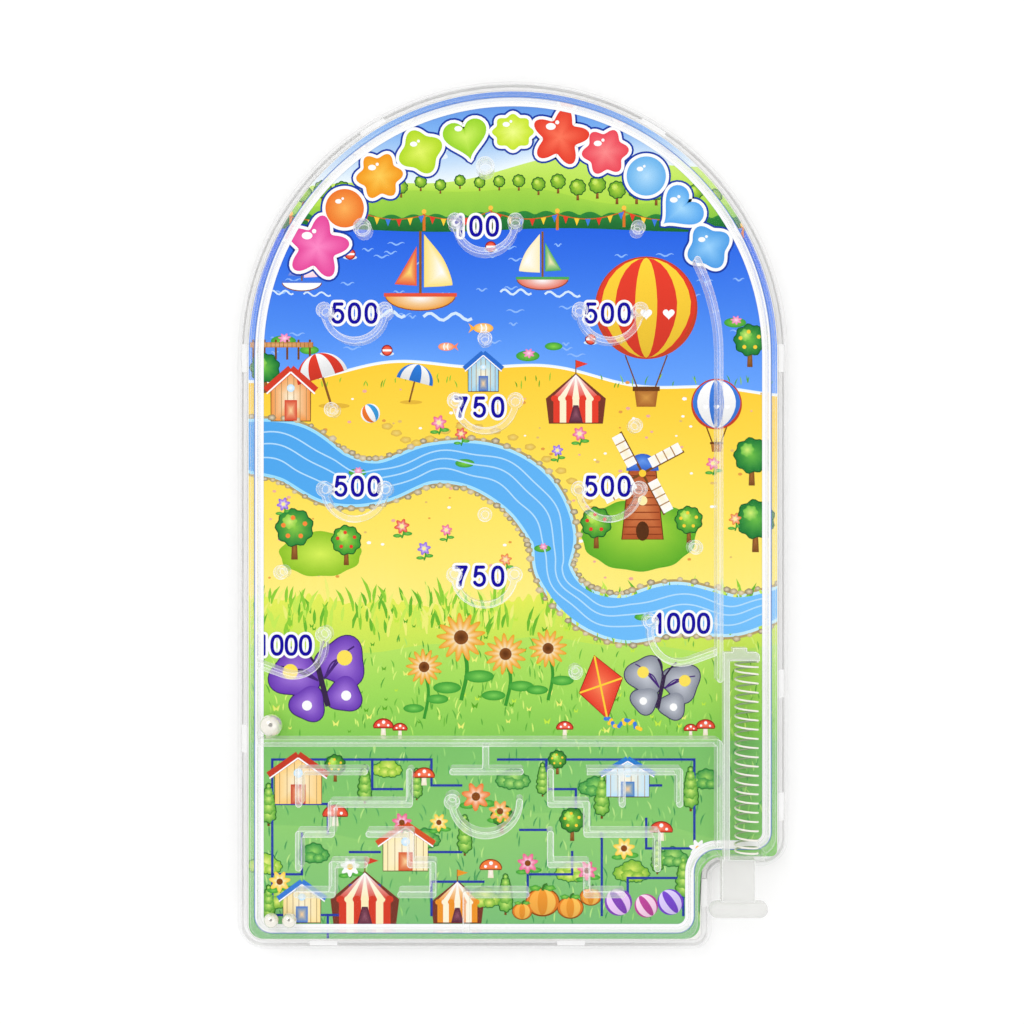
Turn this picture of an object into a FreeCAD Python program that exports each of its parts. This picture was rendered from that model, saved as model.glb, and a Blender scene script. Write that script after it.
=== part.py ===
# A flat handheld pinball and maze toy in a clear arched case, lying on its back.
# Millimetres. X runs to the right, Y up the playfield, Z out of the front face.
# The origin is the middle of the back, on the plane that the case lies on.

import FreeCAD, Part
import math
import os
import re

import Sketcher

PARTS = "parts"
X_AXIS = FreeCAD.Vector(1, 0, 0)
Y_AXIS = FreeCAD.Vector(0, 1, 0)
Z_AXIS = FreeCAD.Vector(0, 0, 1)

# Driving sizes, one sheet cell each. Angles are in degrees, everything else in millimetres.
SIZES = {
    # case: the back tray's foot is the outline, the lid's skirt and its raised part step inwards
    "case_width": 150.0,
    "case_height": 236.2,
    "case_corner": 7.6,
    "notch_height": 22.6,
    "notch_corner": 5.4,
    "notch_inner": 2.6,
    "foot_thick": 1.5,
    "foot_step": 1.7,
    "tray_recess": 3.6,
    "tray_floor": 1.6,
    "tray_wall": 1.5,
    "lid_gap": 0.2,
    "skirt_wall": 1.5,
    "flange_thick": 1.2,
    "face_thick": 1.6,
    "face_round": 1.1,
    # printed card
    "card_thick": 0.4,
    "card_gap": 0.3,
    # snap lugs on the tray and their windows in the lid's skirt
    "snap_length": 7.0,
    "snap_tall": 1.4,
    "snap_reach": 1.0,
    "snap_gap": 0.25,
    "snap_lift": 1.2,
    # balls
    "big_ball": 6.0,
    "small_ball": 4.0,
    "chamber_headroom": 1.2,
    "ball_gap": 0.15,
    "small_ball_step": 0.85,
    # walls of the field
    "foot_gap": 0.1,
    "flange_width": 1.85,
    "track_thick": 1.9,
    "track_corner": 4.8,
    "track_notch_corner": 6.0,
    "divider_thick": 1.7,
    "divider_bend": 27.0,
    "return_gap": 15.0,
    "rail_thick": 2.0,
    "rail_corner": 1.9,
    "maze_depth": 49.55,
    "rib_thick": 1.8,
    # score cups and posts
    "cup_radius": 8.05,
    "cup_post": 4.3,
    "cup_bore": 2.5,
    "side_cup_reach": 17.6,
    "side_cup_leg": 3.0,
    "side_cup_sweep": 110.0,
    "wide_post": 4.9,
    "wide_bore": 3.5,
    "field_post": 3.9,
    "field_bore": 2.1,
    "post_floor": 0.8,
    "maze_cup_radius": 9.0,
    "maze_cup_bore": 2.2,
    # plunger
    "slide_gap": 0.3,
    "bar_thick": 1.6,
    "bar_tall": 4.8,
    "bar_gap": 1.4,
    "head_thick": 2.4,
    "head_round": 1.2,
    "pad_width": 3.8,
    "pad_thick": 1.1,
    "pad_inset": 2.4,
    "shaft_lip": 0.5,
    "shaft_width": 8.9,
    "shaft_length": 11.3,
    "shaft_side_gap": 2.1,
    "shoulder_gap": 0.1,
    "knob_width": 15.8,
    "knob_thick": 4.5,
    "knob_lap": 1.7,
    "knob_round": 1.7,
    # the pocket at the lane's lower end that takes the spring
    "pocket_out": 1.5,
    "pocket_wall": 1.0,
    # spring
    "spring_outer": 6.6,
    "spring_wire": 0.5,
    "spring_length": 51.8,
    "spring_end_pitch": 1.45,
    "spring_side_gap": 2.15,
    "spring_seat_gap": 0.1,
    # the smallest corner radius that an outline keeps as it steps inwards
    "least_corner": 0.5,
    # how far a cutting solid runs past what it cuts
    "overrun": 1.0,
}
SPRING_TURNS = 22
# The most of the knob's thickness that its rounding may take.
KNOB_ROUND_SHARE = 0.42

# Lengths and places worked out from the driving sizes.
DERIVED = {
    "half_width": "case_width / 2",
    "half_height": "case_height / 2",
    "arch_y": "half_height - half_width",
    "lane_bottom": "notch_height - half_height",
    # levels, from the back
    "floor_top": "tray_recess + tray_floor",
    "card_top": "floor_top + card_thick",
    "foot": "card_top + foot_gap",
    "chamber": "max(big_ball; spring_outer) + chamber_headroom",
    "face_low": "card_top + chamber",
    "case_top": "face_low + face_thick",
    "skirt_low": "foot_thick + foot_gap",
    "flange_top": "foot + flange_thick",
    "wall_tall": "face_low - foot",
    "mid_level": "card_top + chamber / 2",
    "post_bottom": "foot + post_floor",
    # how far each outline lies inside the case's own
    "skirt_inset": "foot_step",
    "skirt_inner": "skirt_inset + skirt_wall",
    "tray_inset": "skirt_inner + lid_gap",
    "card_inset": "skirt_inner + card_gap",
    "track_inset": "skirt_inner + flange_width",
    "field_inset": "track_inset + track_thick",
    # the shooter lane, from the right wall inwards
    "lane_right": "half_width - field_inset",
    "spring_x": "lane_right - spring_side_gap - spring_outer / 2",
    "bar_right": "spring_x - spring_outer / 2 - bar_gap",
    "bar_left": "bar_right - bar_thick",
    "divider_right": "bar_left - slide_gap",
    "divider_left": "divider_right - divider_thick",
    "divider_x": "divider_right - divider_thick / 2",
    "notch_x": "bar_left - shaft_side_gap",
    "head_right": "spring_x + spring_outer / 2",
    # the field and the maze
    "field_left": "-lane_right",
    "field_width": "divider_left - field_left",
    "maze_bottom": "-half_height + field_inset",
    "rail_bottom": "maze_bottom + maze_depth",
    "rail_top": "rail_bottom + rail_thick",
    "field_height": "half_height - field_inset - rail_top",
    "divider_low": "rail_top + return_gap + divider_thick / 2",
    "maze_wall_low": "lane_bottom + field_inset",
    # the plunger along the lane
    "pocket_y": "lane_bottom + track_inset - pocket_out",
    "seat_y": "pocket_y + pocket_wall",
    "pocket_left": "bar_left - slide_gap",
    "pocket_right": "head_right + slide_gap",
    "spring_low": "seat_y + spring_seat_gap",
    "spring_high": "spring_low + spring_length",
    "head_low": "spring_high + spring_seat_gap",
    "head_high": "head_low + head_thick",
    "shoulder_y": "pocket_y - shoulder_gap",
    "knob_high": "shoulder_y - shaft_length",
    "knob_low": "knob_high - knob_thick",
    "knob_left": "notch_x - knob_lap",
    "bar_low": "mid_level - bar_tall / 2",
    # balls
    "big_r": "big_ball / 2",
    "small_r": "small_ball / 2",
    "corner_r": "track_corner - track_thick",
    "small_x": "field_left + max(small_r; corner_r) + ball_gap",
    "small_y": "maze_bottom + small_r + ball_gap",
}

# Score cups: share of the field's width from its left wall, and of its height from the rail.
CUP_SHARES = {
    "score_cup_100": (0.496, 0.808),
    "score_cup_500_upper_left": (0.211, 0.669),
    "score_cup_500_upper_right": (0.768, 0.669),
    "score_cup_750_upper": (0.496, 0.528),
    "score_cup_500_lower_left": (0.211, 0.390),
    "score_cup_500_lower_right": (0.766, 0.390),
    "score_cup_750_lower": (0.494, 0.256),
}
SIDE_CUP_HEIGHT_SHARES = {"score_cup_1000_left": 0.163, "score_cup_1000_right": 0.183}
WIDE_POST_SHARES = ((0.496, 0.894), (0.228, 0.798))
FIELD_POST_SHARES = (
    (0.829, 0.798),
    (0.495, 0.625),
    (0.161, 0.514),
    (0.823, 0.489),
    (0.495, 0.350),
    (0.051, 0.260),
    (0.954, 0.299),
    (0.693, 0.104),
)

# Maze ribs: corner points as share of the field's width from the left wall, and of the maze's
# depth from the rail down. The five rows of the maze lie at these shares of the depth.
ROW_1, ROW_2, ROW_3, ROW_4, ROW_5 = ROW_SHARES = (0.135, 0.309, 0.470, 0.634, 0.795)
RIB_SHARES = {
    "maze_rib_left_top": [((0.090, ROW_2), (0.090, ROW_1), (0.233, ROW_1))],
    "maze_rib_left_stair": [
        (
            (0.331, ROW_1),
            (0.331, ROW_2),
            (0.161, ROW_2),
            (0.161, ROW_3),
            (0.090, ROW_3),
            (0.090, 0.652),
        )
    ],
    "maze_rib_middle_stair": [
        (
            (0.243, ROW_3),
            (0.333, ROW_3),
            (0.333, ROW_4),
            (0.382, ROW_4),
            (0.382, ROW_5),
            (0.312, ROW_5),
        )
    ],
    "maze_rib_left_low": [
        ((0.233, ROW_4), (0.163, ROW_4), (0.163, ROW_5), (0.086, ROW_5))
    ],
    "maze_rib_right_stair": [
        (
            (0.638, ROW_1),
            (0.638, ROW_2),
            (0.717, ROW_2),
            (0.717, ROW_3),
            (0.871, ROW_3),
            (0.871, 0.655),
        )
    ],
    "maze_rib_right_comb": [
        ((0.794, ROW_2), (0.794, ROW_1)),
        ((0.717, ROW_1), (0.919, ROW_1), (0.919, ROW_2)),
    ],
    "maze_rib_right_low": [
        (
            (0.638, ROW_3),
            (0.638, ROW_4),
            (0.717, ROW_4),
            (0.717, ROW_5),
            (0.794, ROW_5),
        )
    ],
}
TEE_BAR_SHARES = ((0.425, ROW_1), (0.572, ROW_1))
TEE_STEM_SHARE = 0.497
STEM_SHARES = ((0.454, ROW_5), (0.585, ROW_5))
MAZE_CUP_SHARES = (0.497, ROW_2 - 0.012)

# Where the snap tabs sit: on the straight sides by share of the case's height or width from its
# middle, on the arch by angle.
SNAP_HEIGHT_SHARES_LEFT = (0.180, -0.256)
SNAP_HEIGHT_SHARES_RIGHT = (0.180, -0.193, -0.334)
SNAP_WIDTH_SHARES_BOTTOM = (-0.342, 0.105)
SNAP_NOTCH_SHARE = 0.30
SNAP_ARCH_ANGLES = (58.5, 121.5)

doc = FreeCAD.newDocument("pinball_maze_toy")
sheet = doc.addObject("Spreadsheet::Sheet", "Sizes")
for row, (alias, number) in enumerate(SIZES.items(), start=1):
    sheet.set(f"A{row}", alias)
    sheet.set(f"B{row}", str(number))
    sheet.setAlias(f"B{row}", alias)
doc.recompute()

nodes = {}


def full(text):
    """The expression with every derived name opened up and every driving size read from the sheet."""

    def word(match):
        name = match.group(0)
        if name in DERIVED:
            return f"({full(DERIVED[name])})"
        return f"Sizes.{name}" if name in SIZES else name

    return re.sub(r"[a-z][a-z_0-9]*", word, text)


def number(text):
    """The value of an expression now, for geometry that is worked out here."""
    found = sheet.evalExpression(full(text))
    return float(getattr(found, "Value", found))


def bind(obj, **expressions):
    """Ties properties to expressions; a double underscore in a name stands for a dot."""
    for prop, text in expressions.items():
        obj.setExpression(prop.replace("__", "."), full(text))


def place(obj, x="0", y="0", z="0"):
    bind(obj, Placement__Base__x=x, Placement__Base__y=y, Placement__Base__z=z)
    return obj


def turn(obj, degrees):
    obj.Placement.Rotation = FreeCAD.Rotation(Z_AXIS, degrees)
    return obj


def box(name, x, y, z, length, width, height):
    """A box by its low corner and its three sizes, all expressions."""
    made = doc.addObject("Part::Box", name)
    bind(made, Length=length, Width=width, Height=height)
    return place(made, x, y, z)


def cylinder(name, x, y, z, diameter, height, sweep=None):
    made = doc.addObject("Part::Cylinder", name)
    bind(made, Radius=f"({diameter}) / 2", Height=height)
    if sweep:
        bind(made, Angle=sweep)
    return place(made, x, y, z)


def fuse(name, shapes):
    made = doc.addObject("Part::MultiFuse", name)
    made.Shapes = shapes
    made.Refine = True
    return made


def cut(name, base, tools):
    """One solid less others, which are gathered in a compound first."""
    made = doc.addObject("Part::Cut", name)
    made.Base = base
    if len(tools) == 1:
        made.Tool = tools[0]
    else:
        gathered = doc.addObject("Part::Compound", name + "_tools")
        gathered.Links = tools
        made.Tool = gathered
    return made


def group(name, shapes):
    made = doc.addObject("Part::Compound", name)
    made.Links = shapes
    return made


def node(label, obj):
    obj.Label = label
    nodes[label] = obj
    return obj


def plane(body, role):
    return next(o for o in body.Origin.OriginFeatures if o.Role == role)


# Outlines


def outline(body, name, inset, level, corner, low_corner, inner_corner):
    """The case's outline drawn a distance inside its edge: a half circle on straight sides, with a
    notch in the lower right. Corners: the two lower outer ones share a radius, the foot beside the
    notch has its own, and the notch's inner corner curves the other way."""
    sketch = body.newObject("Sketcher::SketchObject", name)
    sketch.AttachmentSupport = (plane(body, "XY_Plane"), [""])
    sketch.MapMode = "FlatFace"
    sketch.setExpression("AttachmentOffset.Base.z", full(level))
    sides = {
        "side": f"half_width - ({inset})",
        "arch": "arch_y",
        "lane": f"-(lane_bottom + ({inset}))",
        "notch": f"notch_x - ({inset})",
        "base": f"half_height - ({inset})",
        "corner": corner,
        "low": low_corner,
        "inner": inner_corner,
    }
    at = {key: number(text) for key, text in sides.items()}
    side, arch, notch = at["side"], at["arch"], at["notch"]
    lane, base = -at["lane"], -at["base"]
    round_, low, inner = at["corner"], at["low"], at["inner"]

    def line(x1, y1, x2, y2):
        sketch.addGeometry(
            Part.LineSegment(FreeCAD.Vector(x1, y1, 0), FreeCAD.Vector(x2, y2, 0))
        )

    def arc(x, y, radius, start, end):
        circle = Part.Circle(FreeCAD.Vector(x, y, 0), Z_AXIS, radius)
        sketch.addGeometry(
            Part.ArcOfCircle(circle, math.radians(start), math.radians(end))
        )

    arc(0, arch, side, 0, 180)
    line(side, arch, side, lane + round_)
    arc(side - round_, lane + round_, round_, -90, 0)
    line(side - round_, lane, notch + inner, lane)
    arc(notch + inner, lane - inner, inner, 90, 180)
    line(notch, lane - inner, notch, base + low)
    arc(notch - low, base + low, low, -90, 0)
    line(notch - low, base, -side + round_, base)
    arc(-side + round_, base + round_, round_, 180, 270)
    line(-side, base + round_, -side, arch)

    joins = [(1, 1, 0, 1), (1, 2, 2, 2), (3, 1, 2, 1), (3, 2, 4, 1), (5, 1, 4, 2)]
    joins += [(5, 2, 6, 2), (7, 1, 6, 1), (7, 2, 8, 2), (9, 1, 8, 1), (9, 2, 0, 2)]
    for join in joins:
        sketch.addConstraint(Sketcher.Constraint("Tangent", *join))
    for upright in (1, 5, 9):
        sketch.addConstraint(Sketcher.Constraint("Vertical", upright))
    for level_line in (3, 7):
        sketch.addConstraint(Sketcher.Constraint("Horizontal", level_line))
    sketch.addConstraint(Sketcher.Constraint("PointOnObject", 0, 3, -2))
    sized = [
        ("side", "Radius", (0,), side),
        ("arch", "DistanceY", (-1, 1, 0, 3), arch),
        ("corner", "Radius", (2,), round_),
        ("corner", "Radius", (8,), round_),
        ("low", "Radius", (6,), low),
        ("inner", "Radius", (4,), inner),
        ("lane", "DistanceY", (3, 2, -1, 1), -lane),
        ("notch", "DistanceX", (-1, 1, 5, 1), notch),
        ("base", "DistanceY", (7, 1, -1, 1), -base),
    ]
    for count, (key, kind, refs, size) in enumerate(sized):
        index = sketch.addConstraint(Sketcher.Constraint(kind, *refs, size))
        sketch.renameConstraint(index, f"{key}_{count}")
        sketch.setExpression(f"Constraints.{key}_{count}", full(sides[key]))
    return sketch


def case_outline(body, name, inset, level):
    """An outline that keeps an even distance from the case's edge."""
    return outline(
        body,
        name,
        inset,
        level,
        f"max(case_corner - ({inset}); least_corner)",
        f"max(notch_corner - ({inset}); least_corner)",
        f"notch_inner + ({inset})",
    )


def track_outline(body, name, inset, level):
    """The outline of the raised part, whose corners have radii of their own."""
    corner = f"track_corner + track_inset - ({inset})"
    inner = f"track_notch_corner - track_inset + ({inset})"
    return outline(body, name, inset, level, corner, corner, inner)


def pad(body, name, sketch, length):
    made = body.newObject("PartDesign::Pad", name)
    made.Profile = sketch
    bind(made, Length=length)
    doc.recompute()
    return made


def pocket(body, name, sketch, length):
    """Cuts upwards from the sketch's level, and makes sure that something was cut."""
    before = body.Shape.Volume
    made = body.newObject("PartDesign::Pocket", name)
    made.Profile = sketch
    made.Reversed = True
    bind(made, Length=length)
    doc.recompute()
    if not body.Shape.Volume < before:
        raise RuntimeError(f"{name} cuts nothing")
    return made


# Case


def snap_places():
    """Each snap's name, angle, centre and distance of the case's edge from that centre."""
    found = [
        (0, "0", f"{share} * case_height", "half_width")
        for share in SNAP_HEIGHT_SHARES_RIGHT
    ]
    found += [
        (180, "0", f"{share} * case_height", "half_width")
        for share in SNAP_HEIGHT_SHARES_LEFT
    ]
    found += [
        (270, f"{share} * case_width", "0", "half_height")
        for share in SNAP_WIDTH_SHARES_BOTTOM
    ]
    found += [(0, "0", f"lane_bottom - {SNAP_NOTCH_SHARE} * notch_height", "notch_x")]
    found += [(angle, "0", "arch_y", "half_width") for angle in SNAP_ARCH_ANGLES]
    return [(f"snap_{i + 1}", *place_) for i, place_ in enumerate(found)]


def edge_box(name, angle, x, y, start, reach, length, low, tall):
    """A box that lies across the case's edge: start and reach run outwards at the angle."""
    c, s = f"cos({angle} deg)", f"sin({angle} deg)"
    made = box(
        name,
        f"({x}) + {c} * ({start}) + {s} * ({length}) / 2",
        f"({y}) + {s} * ({start}) - {c} * ({length}) / 2",
        low,
        reach,
        length,
        tall,
    )
    return turn(made, angle)


def make_back_tray():
    """A floor on a low wall that stands on a wider foot, with lugs for the lid."""
    body = doc.addObject("PartDesign::Body", "tray_shell")
    pad(body, "tray_foot", case_outline(body, "foot_edge", "0", "0"), "foot_thick")
    pad(body, "tray_block", case_outline(body, "tray_edge", "tray_inset", "0"), "floor_top")
    recess = case_outline(body, "tray_back", "tray_inset + tray_wall", "0")
    pocket(body, "tray_back_recess", recess, "tray_recess")
    lugs = [
        edge_box(
            f"{name}_lug",
            angle,
            x,
            y,
            f"{edge} - tray_inset - tray_wall / 2",
            "tray_wall / 2 + lid_gap + snap_reach",
            "snap_length",
            "skirt_low + snap_lift",
            "snap_tall",
        )
        for name, angle, x, y, edge in snap_places()
    ]
    return node("back_tray", fuse("tray_with_lugs", [body] + lugs))


def make_side_wall():
    """The wall round the field, the flange at its foot and the skirt that drops over the tray."""
    body = doc.addObject("PartDesign::Body", "side_shell")
    skirt = case_outline(body, "skirt_edge", "skirt_inset", "skirt_low")
    pad(body, "skirt_block", skirt, "flange_top - skirt_low")
    pad(body, "track_block", track_outline(body, "track_edge", "track_inset", "foot"), "wall_tall")
    under = case_outline(body, "skirt_hollow_edge", "skirt_inner", "skirt_low")
    pocket(body, "skirt_hollow", under, "foot - skirt_low")
    field = track_outline(body, "field_edge", "field_inset", "foot")
    pocket(body, "field_hollow", field, "wall_tall")
    windows = [
        edge_box(
            f"{name}_window",
            angle,
            x,
            y,
            f"{edge} - skirt_inner - lid_gap",
            "skirt_wall + lid_gap + overrun",
            "snap_length + 2 * snap_gap",
            "skirt_low + snap_lift - snap_gap",
            "snap_tall + 2 * snap_gap",
        )
        for name, angle, x, y, edge in snap_places()
    ]
    mouth = box(
        "pocket_hollow",
        "pocket_left",
        "seat_y",
        "foot - overrun",
        "pocket_right - pocket_left",
        "lane_bottom + field_inset + overrun - seat_y",
        "wall_tall + 2 * overrun",
    )
    slot = box(
        "bar_slot",
        "pocket_left",
        "lane_bottom - overrun",
        "skirt_low - overrun",
        "bar_thick + 2 * slide_gap",
        "field_inset + 2 * overrun",
        "bar_low + bar_tall + slide_gap - skirt_low + overrun",
    )
    shell = fuse("side_with_pocket", [body, pocket_block("pocket_block", "foot", "wall_tall")])
    return node("side_wall", cut("side_cut", shell, [mouth, slot] + windows))


def pocket_block(name, low, tall):
    """The bulge of the raised part round the spring's lower end."""
    return box(
        name,
        "pocket_left - pocket_wall",
        "pocket_y",
        low,
        "pocket_right - pocket_left + 2 * pocket_wall",
        "pocket_out + track_thick / 2",
        tall,
    )


def make_front_cover(bores):
    """The face plate, which lies on the side wall, with the posts' hollows open through it."""
    body = doc.addObject("PartDesign::Body", "cover_shell")
    edge = track_outline(body, "cover_edge", "track_inset", "face_low")
    padded = pad(body, "cover_block", edge, "face_thick")
    rounded = body.newObject("PartDesign::Fillet", "cover_rim")
    rounded.Base = (padded, edges_at(body.Shape, number("case_top")))
    bind(rounded, Radius="min(face_round; face_thick - foot_gap)")
    doc.recompute()
    bulge = pocket_block("cover_bulge", "face_low", "face_thick - face_round / 2")
    return node("front_cover", cut("cover_cut", fuse("cover_plate", [body, bulge]), bores))


def edges_at(shape, level):
    """The names of the edges that lie wholly at one level."""
    near = 1e-6
    return [
        f"Edge{i + 1}"
        for i, edge in enumerate(shape.Edges)
        if abs(edge.BoundBox.ZMin - level) < near and abs(edge.BoundBox.ZMax - level) < near
    ]


def make_card():
    body = doc.addObject("PartDesign::Body", "card")
    sketch = case_outline(body, "card_outline", "card_inset", "floor_top")
    pad(body, "card_sheet", sketch, "card_thick")
    return node("playfield_card", body)


# Walls of the field


def wall_box(name, x1, y1, x2, y2):
    """A wall as tall as the chamber, by the low and high corners of its plan."""
    return box(
        name, x1, y1, "foot", f"({x2}) - ({x1})", f"({y2}) - ({y1})", "wall_tall"
    )


def wall_post(name, x, y, diameter):
    return cylinder(name, x, y, "foot", diameter, "wall_tall")


def bore(name, x, y, diameter):
    """A hollow that opens through the face plate and stops above the post's foot."""
    return cylinder(name, x, y, "post_bottom", diameter, "case_top - post_bottom + overrun")


def make_lane_divider():
    straight = wall_box("divider_wall", "divider_left", "divider_low", "divider_right", "arch_y")
    outer = cylinder(
        "divider_arc_outer", "0", "arch_y", "foot", "2 * divider_right", "wall_tall", "divider_bend"
    )
    inner = cylinder(
        "divider_arc_inner",
        "0",
        "arch_y",
        "foot - overrun",
        "2 * divider_left",
        "wall_tall + 2 * overrun",
    )
    bend = cut("divider_arc", outer, [inner])
    low = wall_post("divider_low_end", "divider_x", "divider_low", "divider_thick")
    high = wall_post(
        "divider_high_end",
        "divider_x * cos(divider_bend * 1 deg)",
        "arch_y + divider_x * sin(divider_bend * 1 deg)",
        "divider_thick",
    )
    return node("lane_divider", fuse("divider", [straight, bend, low, high]))


def make_maze_rail():
    """The rail across the case and the maze's right wall, which meet in a rounded corner."""
    corner_x, corner_y = "divider_right - rail_corner", "rail_top - rail_corner"
    floor = wall_box("rail_floor", "field_left", "rail_bottom", corner_x, "rail_top")
    upright = wall_box("maze_wall", "divider_left", "maze_wall_low", "divider_right", corner_y)
    corner = cylinder(
        "rail_corner_round", corner_x, corner_y, "foot", "2 * rail_corner", "wall_tall", "90"
    )
    return node("maze_rail", fuse("rail", [floor, upright, corner]))


# Cups, posts and ribs


def field_x(share):
    return f"field_left + {share} * field_width"


def field_y(share):
    return f"rail_top + {share} * field_height"


def maze_y(share):
    return f"rail_bottom - {share} * maze_depth"


def half_ring(name, x, y, radius, thick):
    """The lower half of a round wall."""
    outer = cylinder(
        f"{name}_outer", x, y, "foot", f"2 * ({radius}) + {thick}", "wall_tall", "180"
    )
    turn(outer, 180)
    inner = cylinder(
        f"{name}_inner",
        x,
        y,
        "foot - overrun",
        f"2 * ({radius}) - {thick}",
        "wall_tall + 2 * overrun",
    )
    return cut(f"{name}_ring", outer, [inner])


def make_score_cup(label, across, up):
    """A half round pocket between two hollow posts."""
    x, y = field_x(across), field_y(up)
    ring = half_ring(label, x, y, "cup_radius", "rib_thick")
    ends = [("left", f"{x} - cup_radius"), ("right", f"{x} + cup_radius")]
    posts = [wall_post(f"{label}_{side}_post", at, y, "cup_post") for side, at in ends]
    bores = [bore(f"{label}_{side}_bore", at, y, "cup_bore") for side, at in ends]
    wall = fuse(f"{label}_wall", [ring] + posts)
    node(label, cut(f"{label}_cup", wall, bores))
    return bores


def make_side_cup(label, up, side):
    """Half a cup that runs on to a side wall. side is 1 at the left wall and -1 at the divider."""
    wall_x = "field_left" if side == 1 else "divider_left"
    post_x = f"{wall_x} + {side} * side_cup_reach"
    centre_x = f"{post_x} - {side} * cup_radius"
    post_y = field_y(up)
    centre_y = f"{post_y} - side_cup_leg"
    leg = wall_box(
        f"{label}_leg",
        f"{post_x} - rib_thick / 2",
        centre_y,
        f"{post_x} + rib_thick / 2",
        post_y,
    )
    outer = cylinder(
        f"{label}_outer",
        centre_x,
        centre_y,
        "foot",
        "2 * cup_radius + rib_thick",
        "wall_tall",
        "side_cup_sweep",
    )
    inner = cylinder(
        f"{label}_inner",
        centre_x,
        centre_y,
        "foot - overrun",
        "2 * cup_radius - rib_thick",
        "wall_tall + 2 * overrun",
    )
    sweep = SIZES["side_cup_sweep"]
    start = -sweep if side == 1 else 180
    turn(outer, start)
    arc = cut(f"{label}_arc", outer, [inner])
    # The straight run leaves the arc along its tangent and goes on past the wall's face. Beside
    # the left wall it runs the other way round, so its box starts at the ring's outer face.
    end = -sweep if side == 1 else 180 + sweep
    lean = end + 180 if side == 1 else end
    face = "+" if side == 1 else "-"
    ramp = box(
        f"{label}_ramp_block",
        f"{centre_x} + cos({end} deg) * (cup_radius {face} rib_thick / 2)",
        f"{centre_y} + sin({end} deg) * (cup_radius {face} rib_thick / 2)",
        "foot",
        "rib_thick",
        "side_cup_reach",
        "wall_tall",
    )
    turn(ramp, lean)
    beyond = box(
        f"{label}_beyond",
        wall_x if side == -1 else f"{wall_x} - side_cup_reach",
        f"{centre_y} - 2 * side_cup_reach",
        "foot - overrun",
        "side_cup_reach",
        "4 * side_cup_reach",
        "wall_tall + 2 * overrun",
    )
    run = cut(f"{label}_ramp", ramp, [beyond])
    post = wall_post(f"{label}_post", post_x, post_y, "cup_post")
    hole = bore(f"{label}_bore", post_x, post_y, "cup_bore")
    wall = fuse(f"{label}_wall", [leg, arc, run, post])
    node(label, cut(f"{label}_cup", wall, [hole]))
    return [hole]


def make_posts(label, shares, diameter, hole):
    """A set of alike hollow posts."""
    posts, bores = [], []
    for i, (across, up) in enumerate(shares, start=1):
        x, y = field_x(across), field_y(up)
        bores.append(bore(f"{label}_{i}_bore", x, y, hole))
        solid = wall_post(f"{label}_{i}_post", x, y, diameter)
        posts.append(cut(f"{label}_{i}", solid, [bores[-1]]))
    node(label, group(label, posts))
    return bores


def make_rib(label, runs):
    """A maze rib: straight walls between its points, with a round post at each point."""
    walls = []
    for r, points in enumerate(runs):
        for i, (across, down) in enumerate(points):
            name = f"{label}_{r}_{i}"
            x, y = field_x(across), maze_y(down)
            if i or not r:
                walls.append(wall_post(f"{name}_end", x, y, "rib_thick"))
            if i:
                walls.append(rib_wall(f"{name}_wall", points[i - 1], points[i]))
    return node(label, fuse(f"{label}_rib", walls))


def rib_wall(name, start, end):
    """A straight wall between two points in one row or one column."""
    (x1, x2), (y1, y2) = sorted((start[0], end[0])), sorted((start[1], end[1]))
    half = "rib_thick / 2"
    if x1 == x2:
        x = field_x(x1)
        return wall_box(name, f"{x} - {half}", maze_y(y2), f"{x} + {half}", maze_y(y1))
    y = maze_y(y1)
    return wall_box(name, field_x(x1), f"{y} - {half}", field_x(x2), f"{y} + {half}")


def make_maze_tee():
    (x1, row_), (x2, _) = TEE_BAR_SHARES
    bar = rib_wall("tee_bar", (x1, row_), (x2, row_))
    stem = rib_wall("tee_stem", (TEE_STEM_SHARE, 0), (TEE_STEM_SHARE, row_))
    ends = [
        wall_post(f"tee_end_{i}", field_x(x), maze_y(row_), "rib_thick")
        for i, x in enumerate((x1, x2))
    ]
    return node("maze_tee", fuse("tee", [bar, stem] + ends))


def make_maze_stem():
    (x1, row_), (x2, _) = STEM_SHARES
    bar = rib_wall("stem_bar", (x1, row_), (x2, row_))
    upright = rib_wall("stem_upright", (x1, row_), (x1, 1))
    ends = [
        wall_post(f"stem_end_{i}", field_x(x), maze_y(row_), "rib_thick")
        for i, x in enumerate((x1, x2))
    ]
    return node("maze_stem", fuse("stem", [bar, upright] + ends))


def make_maze_cup():
    x, y = field_x(MAZE_CUP_SHARES[0]), maze_y(MAZE_CUP_SHARES[1])
    ring = half_ring("maze_cup", x, y, "maze_cup_radius", "rib_thick")
    left, right = f"{x} - maze_cup_radius", f"{x} + maze_cup_radius"
    post = wall_post("maze_cup_post", left, y, "cup_post")
    tip = wall_post("maze_cup_tip", right, y, "rib_thick")
    hole = bore("maze_cup_hole", left, y, "maze_cup_bore")
    node("maze_cup", cut("maze_cup_cut", fuse("maze_cup_wall", [ring, post, tip]), [hole]))
    return [hole]


# Moving pieces


def rounded_edges(base, name, radius, chosen):
    """A fillet of the edges that are chosen by their bounds."""
    doc.recompute()
    made = doc.addObject("Part::Fillet", name)
    made.Base = base
    made.Edges = [
        (i + 1, radius, radius) for i, e in enumerate(base.Shape.Edges) if chosen(e.BoundBox)
    ]
    return made


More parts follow.
